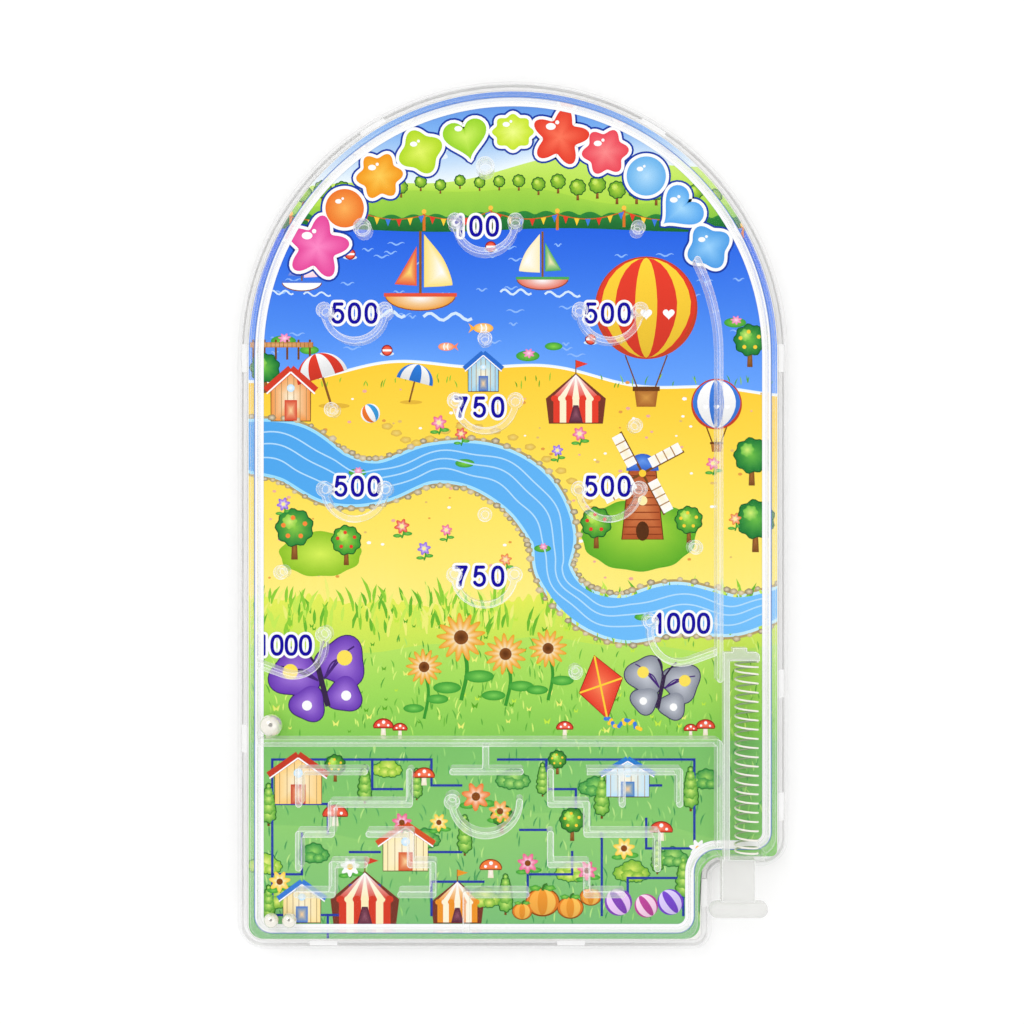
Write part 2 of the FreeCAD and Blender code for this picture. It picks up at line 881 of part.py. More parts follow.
def make_plunger():
    """Head, bar, shaft and knob in one flat moulding. The shaft's shoulder stops on the case."""
    near = 1e-6
    head = box(
        "plunger_head", "bar_left", "head_low", "bar_low", "head_right - bar_left", "head_thick",
        "bar_tall",
    )
    top, right = number("head_high"), number("head_right")
    head_round = rounded_edges(
        head,
        "plunger_head_round",
        number("min(head_round; head_thick / 2)"),
        lambda b: abs(b.YMin - top) < near and abs(b.XMin - right) < near,
    )
    pad_ = box(
        "plunger_pad", "bar_left + pad_inset", "head_high", "bar_low", "pad_width", "pad_thick",
        "bar_tall",
    )
    bar = box(
        "plunger_bar", "bar_left", "shoulder_y", "bar_low", "bar_thick", "head_low - shoulder_y",
        "bar_tall",
    )
    shaft = box(
        "plunger_shaft", "bar_left - shaft_lip", "knob_high", "bar_low", "shaft_width",
        "shaft_length", "bar_tall",
    )
    knob_y = "knob_low + knob_thick / 2"
    knob_bar = box(
        "knob_bar",
        "knob_left + knob_thick / 2",
        "knob_low",
        "bar_low",
        "knob_width - knob_thick",
        "knob_thick",
        "bar_tall",
    )
    ends = [
        cylinder(f"knob_{side}_end", x, knob_y, "bar_low", "knob_thick", "bar_tall")
        for side, x in (
            ("left", "knob_left + knob_thick / 2"),
            ("right", "knob_left + knob_width - knob_thick / 2"),
        )
    ]
    knob = fuse("knob_block", [knob_bar] + ends)
    levels = (number("bar_low"), number("bar_low + bar_tall"))
    knob_round = rounded_edges(
        knob,
        "knob_rounded",
        number(f"min(knob_round; {KNOB_ROUND_SHARE} * knob_thick)"),
        lambda b: any(abs(b.ZMin - z) < near and abs(b.ZMax - z) < near for z in levels),
    )
    return node("plunger", fuse("plunger_moulding", [head_round, pad_, bar, shaft, knob_round]))


def biarc(start, leaving, end, arriving):
    """Two tangent arcs between two points with given directions, as edges."""
    chord = end - start
    both = leaving + arriving
    a = 2 * (1 - leaving.dot(arriving))
    b = chord.dot(both)
    reach = (-b + math.sqrt(b * b + a * chord.dot(chord))) / a
    joint = (start + leaving * reach + end - arriving * reach) * 0.5
    edges = []
    for p, q, control in (
        (start, joint, start + leaving * reach),
        (joint, end, end - arriving * reach),
    ):
        half = (q - p) * 0.5
        rise = control - (p + half)
        lean = math.atan2(rise.Length, half.Length)
        middle = p + half + rise.normalize() * (half.Length * math.tan(lean / 2))
        edges.append(Part.Arc(p, middle, q).toShape())
    return edges


def make_spring():
    """One unbroken wire wound round the Y axis, with a close turn at each end."""
    wire_d = number("spring_wire")
    radius = (number("spring_outer") - wire_d) / 2
    low, length = number("spring_low") + wire_d / 2, number("spring_length") - wire_d
    close = number("spring_end_pitch")
    pitch = (length - 3 * close) / (SPRING_TURNS - 3)
    axis_x, axis_z = number("spring_x"), number("mid_level")

    def climb(turns):
        """Height along the spring: close for a turn, opening over the next, even in between."""
        if turns > SPRING_TURNS / 2:
            return length - climb(SPRING_TURNS - turns)
        if turns <= 1:
            return close * turns
        if turns <= 2:
            over = turns - 1
            return close * turns + (pitch - close) * over * over / 2
        return close * 2 + (pitch - close) / 2 + pitch * (turns - 2)

    def rate(turns):
        if turns > SPRING_TURNS / 2:
            turns = SPRING_TURNS - turns
        return close + (pitch - close) * min(max(turns - 1, 0), 1)

    def point(turns):
        angle = 2 * math.pi * turns
        return FreeCAD.Vector(
            axis_x + radius * math.cos(angle), low + climb(turns), axis_z + radius * math.sin(angle)
        )

    def heading(turns):
        angle = 2 * math.pi * turns
        round_ = 2 * math.pi * radius
        way = FreeCAD.Vector(-round_ * math.sin(angle), rate(turns), round_ * math.cos(angle))
        return way.normalize()

    quarter = 1 / 4
    edges = []
    for i in range(int(SPRING_TURNS / quarter)):
        a, b = i * quarter, (i + 1) * quarter
        edges += biarc(point(a), heading(a), point(b), heading(b))
    path = Part.Wire(edges)
    section = Part.Wire(Part.makeCircle(wire_d / 2, point(0), heading(0)))
    sweep = Part.BRepOffsetAPI.MakePipeShell(path)
    sweep.add(section)
    sweep.build()
    sweep.makeSolid()
    solid = sweep.shape()
    if solid.ShapeType != "Solid":
        solid = solid.Solids[0]

    per_turn = 48
    samples = [point(i / per_turn) for i in range(SPRING_TURNS * per_turn + 1)]
    least = min(
        (samples[i] - samples[j]).Length
        for i in range(len(samples))
        for j in range(i + per_turn // 2, min(i + 3 * per_turn, len(samples)))
    )
    print(f"spring: {SPRING_TURNS} turns, least gap between turns {least - wire_d:.3f} mm")
    swept = math.pi * wire_d**2 / 4 * path.Length
    print(f"spring: volume {solid.Volume:.2f} mm3, section by length {swept:.2f} mm3")
    made = doc.addObject("Part::Feature", "spring")
    made.Shape = solid
    return node("plunger_spring", made)


def make_ball(label, x, y, radius):
    made = doc.addObject("Part::Sphere", f"{label}_sphere")
    bind(made, Radius=radius)
    place(made, x, y, f"card_top + ball_gap + {radius}")
    return node(label, made)


def make_balls():
    make_ball(
        "big_ball", "field_left + big_r + ball_gap", "rail_top + big_r + ball_gap", "big_r"
    )
    make_ball("small_ball_left", "small_x", "small_y", "small_r")
    make_ball(
        "small_ball_right", "small_x + small_ball + small_ball_step", "small_y", "small_r"
    )


def check():
    """Stops on any failed object or any shape that isn't sound."""
    doc.recompute()
    for obj in doc.Objects:
        bad = {"Invalid", "Error"} & set(obj.State)
        if bad:
            raise RuntimeError(f"{obj.Label}: {bad}")
    for label, obj in nodes.items():
        shape = obj.Shape
        if shape.isNull() or not shape.isValid() or not shape.Solids:
            raise RuntimeError(f"{label} has no sound shape")


def main():
    bores = []
    for label, (across, up) in CUP_SHARES.items():
        bores += make_score_cup(label, across, up)
    for label, side in (("score_cup_1000_left", 1), ("score_cup_1000_right", -1)):
        bores += make_side_cup(label, SIDE_CUP_HEIGHT_SHARES[label], side)
    bores += make_posts("wide_posts", WIDE_POST_SHARES, "wide_post", "wide_bore")
    bores += make_posts("field_posts", FIELD_POST_SHARES, "field_post", "field_bore")
    bores += make_maze_cup()
    for label, runs in RIB_SHARES.items():
        make_rib(label, runs)
    make_maze_tee()
    make_maze_stem()
    make_lane_divider()
    make_maze_rail()
    make_card()
    make_back_tray()
    make_side_wall()
    make_front_cover(bores)
    make_plunger()
    make_spring()
    make_balls()
    check()
    os.makedirs(PARTS, exist_ok=True)
    for label, obj in nodes.items():
        obj.Shape.exportStep(f"{PARTS}/{label}.step")
        b = obj.Shape.BoundBox
        print(
            f"{label}: {len(obj.Shape.Solids)} solid(s), {obj.Shape.Volume:.1f} mm3, "
            f"x {b.XMin:.2f} {b.XMax:.2f}, y {b.YMin:.2f} {b.YMax:.2f}, z {b.ZMin:.2f} {b.ZMax:.2f}"
        )


main()
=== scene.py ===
"""Looks of a small hand-held pinball game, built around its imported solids."""

import math

import bpy
import numpy as np
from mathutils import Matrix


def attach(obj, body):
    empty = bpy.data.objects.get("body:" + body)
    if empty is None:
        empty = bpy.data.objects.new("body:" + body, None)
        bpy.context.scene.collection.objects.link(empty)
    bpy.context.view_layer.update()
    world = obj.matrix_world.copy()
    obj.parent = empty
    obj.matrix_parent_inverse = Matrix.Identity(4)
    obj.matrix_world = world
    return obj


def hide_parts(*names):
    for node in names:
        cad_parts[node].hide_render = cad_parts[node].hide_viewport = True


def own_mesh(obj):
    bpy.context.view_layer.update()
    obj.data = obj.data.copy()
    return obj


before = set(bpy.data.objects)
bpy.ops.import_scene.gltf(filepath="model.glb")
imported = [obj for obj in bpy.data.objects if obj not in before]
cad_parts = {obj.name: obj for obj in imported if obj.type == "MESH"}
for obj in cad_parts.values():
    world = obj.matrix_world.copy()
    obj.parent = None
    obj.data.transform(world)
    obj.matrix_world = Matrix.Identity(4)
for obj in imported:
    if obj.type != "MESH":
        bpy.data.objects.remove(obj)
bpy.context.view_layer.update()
scene = bpy.context.scene
MM = 0.001


# Materials


def rgb(text):
    """sRGB hex text as three shares."""
    return np.array([int(text[i : i + 2], 16) / 255 for i in (1, 3, 5)])


def linear(shares):
    """sRGB shares as linear light."""
    return np.where(shares <= 0.04045, shares / 12.92, ((shares + 0.055) / 1.055) ** 2.4)


def colour(text):
    """sRGB hex text as a socket's colour."""
    return (*linear(rgb(text)).tolist(), 1.0)


def add(tree, kind, inputs=None, links=None, **settings):
    """Adds one node: its settings, its sockets' values, and what feeds its sockets: an output, or a
    node for its first output."""
    made = tree.nodes.new("ShaderNode" + kind)
    for name, value in settings.items():
        setattr(made, name, value)
    for socket, value in (inputs or {}).items():
        made.inputs[socket].default_value = value
    for socket, source in (links or {}).items():
        tree.links.new(getattr(source, "outputs", [source])[0], made.inputs[socket])
    return made


def new_material(name):
    """An empty material and its node tree."""
    made = bpy.data.materials.new(name)
    made.use_nodes = True
    made.node_tree.nodes.clear()
    return made, made.node_tree


def finished(made, shader):
    """The material with this shader as its surface."""
    add(made.node_tree, "OutputMaterial", None, {"Surface": shader})
    return made


def speckled(tree, scale, detail, dark, pale):
    """A tone that wanders between two by a fine noise."""
    place = add(tree, "TexCoord").outputs["Object"]
    noise = add(tree, "TexNoise", {"Scale": scale, "Detail": detail}, {"Vector": place})
    tones = {"Color1": colour(dark), "Color2": colour(pale)}
    return add(tree, "MixRGB", tones, {"Fac": noise.outputs["Fac"]})


# flow marks of the melt, about 8 mm apart, lift and lower the white by a fourteenth
FLOW_SCALE, FLOW_LOW, FLOW_HIGH = 120.0, 0.93, 1.07
# how fast the painted sheen, a white share, grows as a face is seen more along its plane
SHEEN_STEEPNESS = 2.5
# the painted highlight along an edge starts and is full where the rounded normal agrees with the flat one
# by so much
EDGE_HIGHLIGHT_STARTS, EDGE_HIGHLIGHT_FULL = 0.985, 0.92
# a faint gloss: less than the plastic's own 1.59 gives, to match the photograph
GLOSS_IOR, GLOSS_ROUGHNESS = 1.12, 0.04


def clear_polystyrene(name, film, rim, edge, edge_mm=0.45, milky=None, tint="#ffffff"):
    """Injection-moulded crystal polystyrene: lets the picture through, with a painted sheen, a white share,
    where a wall is seen along its face, and a painted highlight, a white line, along its moulded edges.

    film is the white that it adds head on, rim the painted sheen that it adds where a face is seen along
    its plane, edge the painted highlight that its rounded edges add and edge_mm their width. milky is a
    level in mm and the white that is added below it."""
    made, tree = new_material(name)
    through = add(tree, "BsdfTransparent", {"Color": colour(tint)})
    place = add(tree, "TexCoord").outputs["Object"]
    flow = add(tree, "TexNoise", {"Scale": FLOW_SCALE, "Detail": 1.0}, {"Vector": place})
    limits = {1: 0.3, 2: 0.7, 3: FLOW_LOW, 4: FLOW_HIGH}
    uneven = add(tree, "MapRange", limits, {0: flow.outputs["Fac"]})
    # painted sheen: rim times the glancing share adds white where a face is seen along its plane, in place
    # of the white room mirrored there; film adds the same white at every angle
    slant = add(tree, "LayerWeight", {"Blend": 0.5})
    glancing_sheen = add(tree, "Math", {1: SHEEN_STEEPNESS}, {0: slant.outputs["Facing"]}, operation="POWER")
    parts = [add(tree, "Math", {1: rim, 2: film}, {0: glancing_sheen}, operation="MULTIPLY_ADD")]
    face = add(tree, "NewGeometry")
    if edge:
        # painted highlight: white added along the moulded edges, where the rounded normal leaves the flat
        # one, in place of the light that the rounded edges catch
        rounded = add(tree, "Bevel", {"Radius": edge_mm * MM}, samples=4)
        normals = {0: rounded.outputs["Normal"], 1: face.outputs["True Normal"]}
        agree = add(tree, "VectorMath", None, normals, operation="DOT_PRODUCT")
        limits = {1: EDGE_HIGHLIGHT_STARTS, 2: EDGE_HIGHLIGHT_FULL, 3: 0.0, 4: edge}
        parts.append(add(tree, "MapRange", limits, {0: agree.outputs["Value"]}))
    if milky:
        level, extra = milky
        height = add(tree, "SeparateXYZ", None, {0: place})
        limits = {1: (level - 0.1) * MM, 2: level * MM, 3: extra, 4: 0.0}
        parts.append(add(tree, "MapRange", limits, {0: height.outputs["Z"]}))
    share = parts[0]
    for part in parts[1:]:
        share = add(tree, "Math", None, {0: share, 1: part}, operation="ADD")
    share = add(tree, "Math", None, {0: share, 1: uneven}, operation="MULTIPLY", use_clamp=True)
    body = {"Base Color": colour("#ffffff"), "Roughness": 0.3, "IOR": 1.3}
    white = add(tree, "BsdfPrincipled", body)
    mixed = add(tree, "MixShader", None, {0: share, 1: through, 2: white})
    gloss = add(tree, "BsdfGlossy", {"Roughness": GLOSS_ROUGHNESS})
    shine = add(tree, "Fresnel", {"IOR": GLOSS_IOR})
    # light isn't bent on its way in, so the inside of a face gives no mirror of its own
    outside = add(tree, "Math", {0: 1.0}, {1: face.outputs["Backfacing"]}, operation="SUBTRACT")
    shine = add(tree, "Math", None, {0: shine, 1: outside}, operation="MULTIPLY")
    top = add(tree, "MixShader", None, {0: shine, 1: mixed, 2: gloss})
    # light from lamps and from the room reaches what is under the plastic
    ray = add(tree, "LightPath")
    both = {0: ray.outputs["Is Shadow Ray"], 1: ray.outputs["Is Diffuse Ray"]}
    passing = add(tree, "Math", None, both, operation="ADD", use_clamp=True)
    return finished(made, add(tree, "MixShader", None, {0: passing, 1: top, 2: through}))


def steel(name, base, roughness, grain_mm, strength, mirror, far=None):
    """Plated steel: fine drawing or tumbling marks, and a mirror share that a matt plating lowers.
    far is a level in mm and the tone that is below it."""
    made, tree = new_material(name)
    place = add(tree, "TexCoord").outputs["Object"]
    grain = {"Scale": 1 / (grain_mm * MM), "Detail": 4.0}
    marks = add(tree, "TexNoise", grain, {"Vector": place}).outputs["Fac"]
    rough = add(tree, "MapRange", {3: roughness * 0.7, 4: roughness * 1.3}, {0: marks})
    bump = add(tree, "Bump", {"Strength": strength, "Distance": 0.02 * MM}, {"Height": marks})
    links = {"Roughness": rough, "Normal": bump}
    if far:
        # the strands below this level lie in the shade of the ones in front
        level, tone = far
        height = add(tree, "SeparateXYZ", None, {0: place})
        limits = {1: (level - 1.5) * MM, 2: (level + 0.5) * MM}
        front = add(tree, "MapRange", limits, {0: height.outputs["Z"]})
        tones = {"Color1": colour(tone), "Color2": colour(base)}
        links["Base Color"] = add(tree, "MixRGB", tones, {"Fac": front})
    body = {"Base Color": colour(base), "Metallic": mirror}
    return finished(made, add(tree, "BsdfPrincipled", body, links))


def coated_card(name):
    """White coated card, offset printed: the ink is the mesh's own, with the paper's grain in it
    and a thin varnish over it."""
    made, tree = new_material(name)
    place = add(tree, "TexCoord").outputs["Object"]
    grain = add(tree, "TexNoise", {"Scale": 2500.0, "Detail": 3.0}, {"Vector": place})
    lift = add(tree, "MapRange", {3: 0.95, 4: 1.04}, {0: grain.outputs["Fac"]})
    ink = add(tree, "VertexColor", layer_name="ink")
    both = {0: ink.outputs["Color"], 1: lift}
    printed = add(tree, "VectorMath", None, both, operation="MULTIPLY")
    varnish = {"Roughness": 0.45, "IOR": 1.15}
    return finished(made, add(tree, "BsdfPrincipled", varnish, {"Base Color": printed}))


def plain_card(name):
    """White card board, uncoated at its cut edge and back: matt, with the paper's grain."""
    made, tree = new_material(name)
    tone = speckled(tree, 1500.0, 4.0, "#eeece6", "#fbfaf7")
    return finished(made, add(tree, "BsdfPrincipled", {"Roughness": 0.7}, {"Base Color": tone}))


balls = steel(
    "tumbled_nickel_plated_steel_ball", "#f8f4ea", roughness=0.1, grain_mm=0.6, strength=0.05, mirror=0.6
)
spring_metal = steel(
    "drawn_nickel_plated_spring_wire", "#fffaf0", roughness=0.4, grain_mm=0.4, strength=0.2, mirror=0.25,
    far=(9.5, "#9db08c"),
)
ribs = clear_polystyrene("injection_moulded_crystal_polystyrene_rib", film=0.13, rim=0.5, edge=1.0)
FINISHES = {
    "front_cover": clear_polystyrene("polished_crystal_polystyrene_face", film=0.0, rim=0.4, edge=0.0),
    "side_wall": clear_polystyrene(
        "injection_moulded_crystal_polystyrene_lid", film=0.02, rim=0.16, edge=0.3, milky=(5.6, 0.75)
    ),
    "back_tray": clear_polystyrene(
        "injection_moulded_frosted_polystyrene_tray", film=0.85, rim=0.15, edge=0.0
    ),
    "playfield_card": plain_card("white_card_board"),
    "plunger": clear_polystyrene(
        "injection_moulded_milky_polystyrene_plunger", film=0.3, rim=0.3, edge=0.9, edge_mm=0.5,
        tint="#f3f3f1",
    ),
    "plunger_spring": spring_metal,
    "big_ball": balls,
    "small_ball_left": balls,
    "small_ball_right": balls,
}
for name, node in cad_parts.items():
    node.data.materials.clear()
    node.data.materials.append(FINISHES.get(name, ribs))


# Shapes


def grid_faces(rows, columns, ring=False):
    """Four-cornered faces between the points of a grid, rows by columns, and round to the first
    column for a ring."""
    i = np.arange(rows - 1)[:, None] * columns
    j = np.arange(columns if ring else columns - 1)[None, :]
    after = (j + 1) % columns
    corners = np.broadcast_arrays(i + j, i + after, i + columns + after, i + columns + j)
    return np.stack(corners, -1).reshape(-1, 4)


def new_piece(name, points, faces, material):
    """An object from points in mm and the faces between them."""
    mesh = bpy.data.meshes.new(name)
    mesh.from_pydata((np.asarray(points) * MM).tolist(), [], faces)
    mesh.materials.append(material)
    made = bpy.data.objects.new(name, mesh)
    scene.collection.objects.link(made)
    return made


# the spring in mm: its axis, its foot, its length, its wire, its outer width and its close pitch
SPRING = dict(x=62.6, z=9.5, low=-90.85, length=51.8, wire=0.5, outer=6.6, close=1.45, turns=22)


def spring_wire(per_turn=40, around=12):
    """A round wire carried along a helix round the Y axis: the height climbs by the close pitch
    for a turn at each end, opens over the next and is even between."""
    s = SPRING
    radius, wire = (s["outer"] - s["wire"]) / 2, s["wire"] / 2
    length = s["length"] - s["wire"]
    pitch = (length - 3 * s["close"]) / (s["turns"] - 3)
    t = np.linspace(0, s["turns"], s["turns"] * per_turn + 1)
    from_end = np.minimum(t, s["turns"] - t)
    opened = np.clip(from_end - 1, 0, 1) ** 2 / 2 + np.maximum(from_end - 2, 0)
    climb = s["close"] * from_end + (pitch - s["close"]) * opened
    y = np.where(t > s["turns"] / 2, length - climb, climb)
    angle = 2 * math.pi * t
    centre = np.stack([radius * np.cos(angle), y, radius * np.sin(angle)], 1)
    run = np.gradient(centre, axis=0)
    run /= np.linalg.norm(run, axis=1)[:, None]
    out = np.stack([np.cos(angle), np.zeros_like(t), np.sin(angle)], 1)
    out -= (out * run).sum(1)[:, None] * run
    out /= np.linalg.norm(out, axis=1)[:, None]
    up = np.cross(run, out)
    a = np.linspace(0, 2 * math.pi, around, endpoint=False)[None, :, None]
    ring = centre[:, None] + wire * (out[:, None] * np.cos(a) + up[:, None] * np.sin(a))
    points = (ring + (s["x"], s["low"] + wire, s["z"])).reshape(-1, 3)
    faces = grid_faces(len(t), around, True).tolist()
    ends = [list(range(around))[::-1], list(range(len(points) - around, len(points)))]
    made = new_piece("spring_wire", points, faces + ends, spring_metal)
    for face in made.data.polygons:
        face.use_smooth = len(face.vertices) == 4
    return made


wire = spring_wire()
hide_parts("plunger_spring")
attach(wire, "case")
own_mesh(wire)


# Printed card


# the sheet in mm: half its width, the middle of its round top, its foot, and the notch's side and top
EDGE, ARCH_Y, LOW, NOTCH_X, NOTCH_Y = 71.35, 43.1, -114.45, 50.55, -92.15
# its corners: at the foot, inside the notch and at the right of the lane
OUTER, INNER, SMALL = 3.95, 6.25, 1.75

# inks that come back
WHITE, CREAM, YELLOW, ORANGE, RED, PINK = "#ffffff", "#fff0c0", "#ffd23c", "#f0782c", "#e8402e", "#f05a8c"
VIOLET, BLUE, FOAM, LEAF, WOOD, BARK = "#8a5ae0", "#3f7fe0", "#d8ecff", "#3f9f38", "#8a5a2c", "#7a4a22"
# and leaves: the dark ink and the pale one
PINE, ORCHARD, MINT = ("#1f7a38", "#6fc24a"), ("#3c9432", "#a4dc4a"), ("#4aa04a", "#b8e47a")
MOSS, FERN = ("#3f9a4a", "#9ad86a"), ("#3f9a4a", "#a8dc6a")
LIME, SAGE = ("#8fc83c", "#f0f48a"), ("#7ab83c", "#e8f07a")


def card_columns():
    """Columns across the card, close together at its sides, with the lowest and highest point of
    the sheet at each: a half circle above, and below a straight foot and quarter-circle corners."""
    sweep = np.linspace(-math.pi / 2, math.pi / 2, 300)
    x = np.unique(np.concatenate([EDGE * np.sin(sweep), (NOTCH_X - 0.001, NOTCH_X + 0.001)]))

    def lift(radius, middle):
        """How far a corner's arc stands off its straight edge."""
        return radius - np.sqrt(np.maximum(radius**2 - (x - middle) ** 2, 0))

    # first its corner under the lane, the notch's corner and top, then the corners of its foot
    places = [
        (x > EDGE - SMALL, NOTCH_Y + lift(SMALL, EDGE - SMALL)),
        ((x > NOTCH_X) & (x < NOTCH_X + INNER), NOTCH_Y - lift(INNER, NOTCH_X + INNER)),
        (x > NOTCH_X, NOTCH_Y),
        (x > NOTCH_X - OUTER, LOW + lift(OUTER, NOTCH_X - OUTER)),
        (x < OUTER - EDGE, LOW + lift(OUTER, OUTER - EDGE)),
    ]
    low = np.select(*zip(*places), LOW)
    return x, low, ARCH_Y + np.sqrt(np.maximum(EDGE**2 - x**2, 0))


CARD_X, CARD_LOW, CARD_HIGH = card_columns()

# each patch with its layer of ink: 0 land, water and sky, 1 to 7 what stands on them, 6 to 9 the
# arch, 9 and 10 the score figures, 11 the border under the wall
patches = []


def ramp(first, last, share):
    """The ink between two, by share."""
    return rgb(first) + (rgb(last) - rgb(first)) * share


def lay(points, inks, layer, ring=False):
    """Keeps one patch, cut off at the sheet's edge: a grid of points, rows by columns, joined to
    its neighbours, and round to its first column for a ring."""
    points = np.array(points, float)
    x = points[..., 0] = points[..., 0].clip(-EDGE, EDGE)
    limits = (np.interp(x, CARD_X, edge) for edge in (CARD_LOW, CARD_HIGH))
    points[..., 1] = points[..., 1].clip(*limits)
    patches.append((points, np.broadcast_to(inks, points.shape[:2] + (3,)), layer, ring))


def patch(outline, layer, edge, middle=None, centre=None, rings=2):
    """A filled outline: rings of points shrink from the outline to its centre, and the ink runs
    from middle to edge."""
    outline = np.asarray(outline, float)
    centre = outline.mean(0) if centre is None else np.asarray(centre, float)
    share = np.linspace(0, 1, rings + 1)[:, None, None]
    lay(centre + (outline - centre) * share, ramp(middle or edge, edge, share), layer, True)


def round_form(centre, size, lobes=0, depth=0.0, turn=0.0, aspect=1.0, steps=40):
    """Outline whose radius is size times 1 plus depth times a cosine of lobes times the angle,
    with its height times aspect."""
    t = np.linspace(0, 2 * math.pi, steps, endpoint=False)
    r = size * (1 + depth * np.cos(lobes * (t - turn)))
    return np.stack([centre[0] + r * np.cos(t), centre[1] + r * np.sin(t) * aspect], 1)


def blob(centre, size, layer, edge, middle=None, rings=2, **form):
    """A filled round form."""
    patch(round_form(centre, size, **form), layer, edge, middle, rings=rings)


def across(path):
    """Unit vectors square to a path's run, on its left."""
    run = np.gradient(path, axis=0)
    return np.stack([-run[:, 1], run[:, 0]], 1) / np.linalg.norm(run, axis=1)[:, None]


def ribbon(path, width, layer, ink, end_ink=None):
    """A strip along a path: each point goes half the width to either side, square to the run."""
    path = np.asarray(path, float)
    side = across(path) * (np.broadcast_to(width, len(path)) / 2)[:, None]
    share = np.linspace(0, 1, len(path))[:, None]
    lay([path - side, path + side], ramp(ink, end_ink or ink, share), layer)


def line(*points, steps=1):
    """Points in a straight run through the given corners."""
    points = np.asarray(points, float)
    t = np.linspace(0, len(points) - 1, (len(points) - 1) * steps + 1)
    i = np.minimum(t.astype(int), len(points) - 2)
    return points[i] + (points[i + 1] - points[i]) * (t - i)[:, None]


def smooth(points, steps=5):
    """A smooth run through points: Catmull-Rom, each part a cubic through its two ends, steered
    by their neighbours."""
    p = np.asarray(points, float)
    p = np.vstack([2 * p[0] - p[1], p, 2 * p[-1] - p[-2]])
    out = []
    t = np.linspace(0, 1, steps, endpoint=False)[:, None]
    for a, b, c, d in zip(p, p[1:], p[2:], p[3:]):
        square, cube = 2 * a - 5 * b + 4 * c - d, 3 * b - a - 3 * c + d
        out.append(0.5 * (2 * b + (c - a) * t + square * t**2 + cube * t**3))
    return np.vstack(out + [p[-2]])


def half_round(x, y, wide, high, steps):
    """Half an ellipse that stands on its flat side, or hangs from it where high is below 0."""
    t = np.linspace(0, math.pi, steps)
    return np.stack([x + wide * np.cos(t), y + high * np.sin(t)], 1)


def block(x, low, high, foot, top=None):
    """Corners of an upright block round x, from its half widths at its foot and top."""
    top = foot if top is None else top
    return [(x - foot, low), (x + foot, low), (x + top, high), (x - top, high)]


def spots(x, y, scale, points, tilt=0.0):
    """A thing's own points, in its own size and turned by tilt, as points of the card."""
    c, s = math.cos(tilt), math.sin(tilt)
    u, v = np.moveaxis(np.array(points, float), -1, 0)
    return np.array([x, y]) + np.stack([u * c - v * s, u * s + v * c], -1) * scale


def swell(outline, out):
    """The outline moved outwards by the same distance all round."""
    outline = np.asarray(outline, float)
    after = np.roll(outline, -1, 0)
    run = after - np.roll(outline, 1, 0)
    run /= np.maximum(np.linalg.norm(run, axis=1), 1e-9)[:, None]
    way = np.sign((outline[:, 0] * after[:, 1] - outline[:, 1] * after[:, 0]).sum())
    return outline + np.stack([run[:, 1], -run[:, 0]], 1) * out * way


def edged(outline, layer, edge, middle, rim, **more):
    """A filled outline with a thin dark line round it."""
    patch(swell(outline, 0.26), layer - 1, rim, rings=1)
    patch(outline, layer, edge, middle, **more)


def landscape():
    """Bands of land, water and sky from the card's top to its bottom: each lies between two wavy
    lines, which are sums of sines, and its ink runs from the upper line's to the lower line's."""
    x = CARD_X

    def wave(level, *parts):
        """A level plus sines, each from its height, length and start."""
        return level + sum(high * np.sin(x / length + start) for high, length, start in parts)

    hedge = 1.1 * np.abs(np.sin(x / 1.9))
    tufts = 2.6 * np.abs(np.sin(x / 0.9)) * (0.6 + 0.4 * np.sin(x / 3.1))
    shore = (4.0, 27, 2.2), (1.0, 7, 0)
    lines = [
        (125.0, "#2b5fd6", "#7fb4f4"),
        (104.0, "#7fb4f4", "#f2fbff"),
        (wave(92.5, (4.0, 24, 0.4), (1.3, 9, 0)), "#d0f070", "#b4e24e"),
        (wave(86.0, (2.2, 17, 2.1), (0.8, 6, 0.5)), "#a8d94c", "#8ccb46"),
        (wave(80.6, (0.5, 13, 1.0)) + hedge, "#2f8a3c", "#1f6b35"),
        (wave(77.0, (0.5, 11, 0.3)), "#2a66e8", "#4f8df6"),
        (wave(52.0, (1.5, 19, 0.3)), "#4f8df6", "#6aa6ff"),
        (wave(37.5, *shore), "#e9f7ff", WHITE),
        (wave(36.7, *shore), YELLOW, "#ffe45c"),
        (wave(8.0, (3.0, 23, 1.0)), "#ffe45c", "#fff083"),
        (wave(-24.0, (1.0, 15, 0)) + tufts, "#e6f05a", "#c6e85a"),
        (wave(-35.0, (1.6, 15, 1.2), (0.6, 5, 0)), "#b8e664", "#a0dc5c"),
        (wave(-49.0, (1.2, 21, 2.0)), "#a0dc5c", "#86cc58"),
        (wave(-61.0, (0.3, 9, 0)), "#7ec46c", "#88ca70"),
        (wave(-84.0, (3.0, 16, 0.7), (0.8, 5, 0)), "#92d074", "#72b87c"),
        (-125.0, None, None),
    ]
    for (top, ink, end), (bottom, _, _) in zip(lines, lines[1:]):
        high, low = (np.clip(level, CARD_LOW, CARD_HIGH) for level in (top, bottom))
        y = high + (low - high) * np.linspace(0, 1, 4)[:, None]
        share = ((top - y) / (top - bottom)).clip(0, 1)[:, :, None]
        lay(np.stack([np.broadcast_to(x, y.shape), y], 2), ramp(ink, end, share), 0)


def heart(centre, size, turn=0.0):
    """Heart line: across it the cube of a sine, along it four cosines."""
    t = np.linspace(2 * math.pi, 0, 48, endpoint=False)
    x = 16 * np.sin(t) ** 3
    y = 13 * np.cos(t) - 5 * np.cos(2 * t) - 2 * np.cos(3 * t) - np.cos(4 * t)
    return spots(*centre, size / 15, np.stack([x, y], 1), turn)


